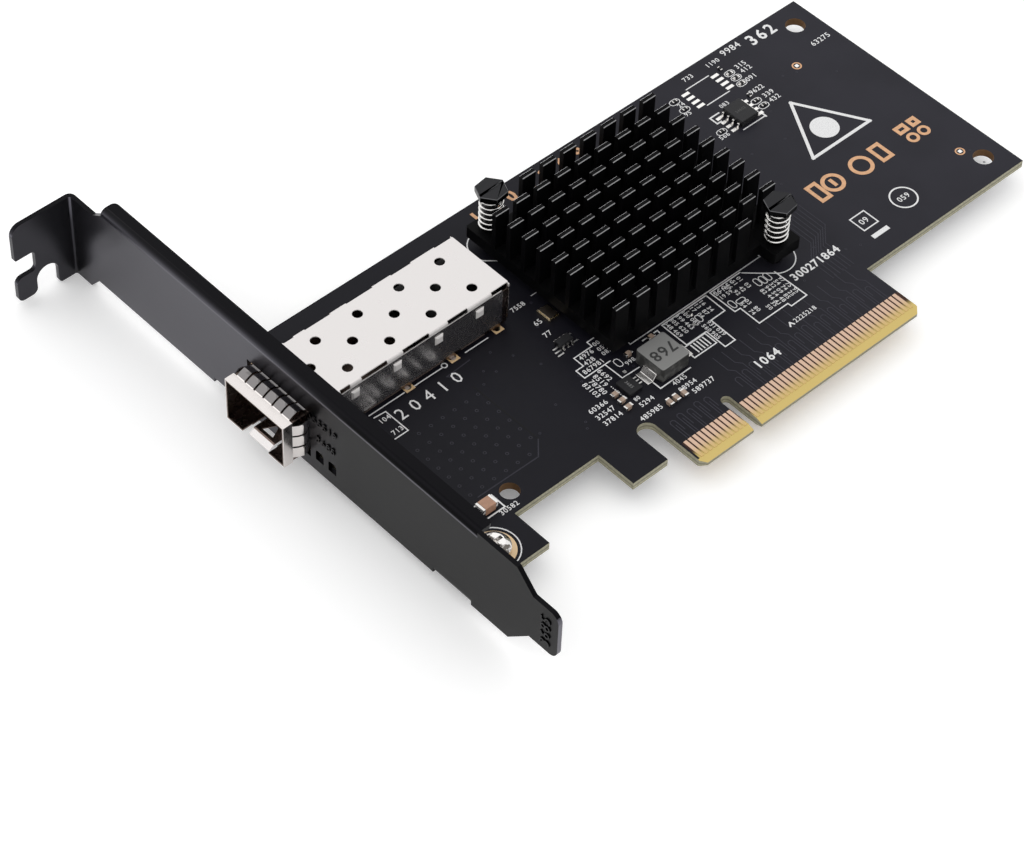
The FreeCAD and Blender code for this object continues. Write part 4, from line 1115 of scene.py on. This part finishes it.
class CARD_OT_stage(bpy.types.Operator):
    """Set the floor, the soft light and the camera"""
    bl_idname = "card.stage"
    bl_label = "Stage"

    def execute(self, context):
        look = context.scene.card_stage
        self.floor()
        self.camera(look)
        self.lights(look)
        return {"FINISHED"}

    def floor(self):
        """A wide pale floor under the card, white to whatever looks at it."""
        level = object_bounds()[0][2]
        mesh = bmesh.new()
        bmesh.ops.create_grid(mesh, x_segments=1, y_segments=1, size=FLOOR_HALF)
        bmesh.ops.translate(mesh, vec=(0, 0, level), verts=mesh.verts)
        floor = settled(mesh, "floor")
        made = Finish("floor_white", (0.99, 0.99, 0.99), 0.6, Specular_IOR_Level=0.2, Emission_Strength=1.0)
        made.feed("Emission Color", made.blend(made.seen(), BLACK, (0.2, 0.2, 0.2)))
        floor.data.materials.append(made.material)
        floor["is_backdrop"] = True

    def camera(self, look):
        """The camera, at its distance from a point of the board."""
        lens = bpy.data.cameras.new("camera")
        lens.lens = look.lens
        lens.sensor_width = SENSOR_WIDTH
        lens.clip_start = 0.01
        lens.clip_end = 20.0
        camera = placed("camera", lens)
        e, a = look.elevation, look.azimuth
        back = Vector((math.sin(a) * math.cos(e), -math.cos(a) * math.cos(e), math.sin(e)))
        turn = back.to_track_quat("Z", "Y").to_matrix() @ Matrix.Rotation(look.roll, 3, "Z")
        camera.matrix_world = Matrix.Translation(CAMERA_TARGET + back * look.distance) @ turn.to_4x4()
        bpy.context.scene.camera = camera

    def lights(self, look):
        """A plain world and three soft lamps."""
        scene = bpy.context.scene
        scene.view_settings.view_transform = "Standard"
        world = bpy.data.worlds.new("studio")
        scene.world = world
        world.use_nodes = True
        studio = Nodes(world.node_tree)
        shade = studio.tree.nodes["Background"]
        shade.inputs["Color"].default_value = (1, 1, 1, 1)
        plain = 0.88 * look.light
        studio.connect(shade.inputs["Strength"], studio.seen() * (1.0 - plain) + plain)
        for name, place, size, power in LAMPS:
            lamp = bpy.data.lights.new(name, "AREA")
            lamp.size = size
            lamp.energy = power * look.light
            holder = placed(name, lamp)
            back = (Vector(place) - LAMP_TARGET).normalized()
            turn = back.to_track_quat("Z", "Y").to_matrix().to_4x4()
            holder.matrix_world = Matrix.Translation(place) @ turn


class CARD_PT_sidebar(bpy.types.Panel):
    """The card's settings and pieces"""
    bl_label = "Network card"
    bl_idname = "CARD_PT_sidebar"
    bl_space_type = "VIEW_3D"
    bl_region_type = "UI"
    bl_category = "Card"

    def draw(self, context):
        for group in SETTINGS:
            box = self.layout.box()
            settings = getattr(context.scene, group)
            for name in settings.__annotations__:
                box.prop(settings, name)
        for operator in OPERATORS:
            self.layout.operator(operator.bl_idname)


SETTINGS = {"card_board": CardBoardSettings, "card_metal": CardMetalSettings,
            "card_heatsink": CardHeatsinkSettings, "card_stage": CardStageSettings}
OPERATORS = (CARD_OT_board, CARD_OT_contacts, CARD_OT_bracket, CARD_OT_cage, CARD_OT_heatsink,
             CARD_OT_small_parts, CARD_OT_stage)
CLASSES = tuple(SETTINGS.values()) + OPERATORS + (CARD_PT_sidebar,)


def register():
    """Make the classes known, and give the scene its settings."""
    for made in CLASSES:
        bpy.utils.register_class(made)
    for name, group in SETTINGS.items():
        setattr(bpy.types.Scene, name, PointerProperty(type=group))


def unregister():
    """Take them away again."""
    for name in SETTINGS:
        delattr(bpy.types.Scene, name)
    for made in reversed(CLASSES):
        bpy.utils.unregister_class(made)


def main():
    """Dress the card, piece by piece, then set the stage."""
    register()
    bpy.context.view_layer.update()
    for operator in OPERATORS:
        space, call = operator.bl_idname.split(".")
        getattr(getattr(bpy.ops, space), call)()


if __name__ == "__main__":
    main()
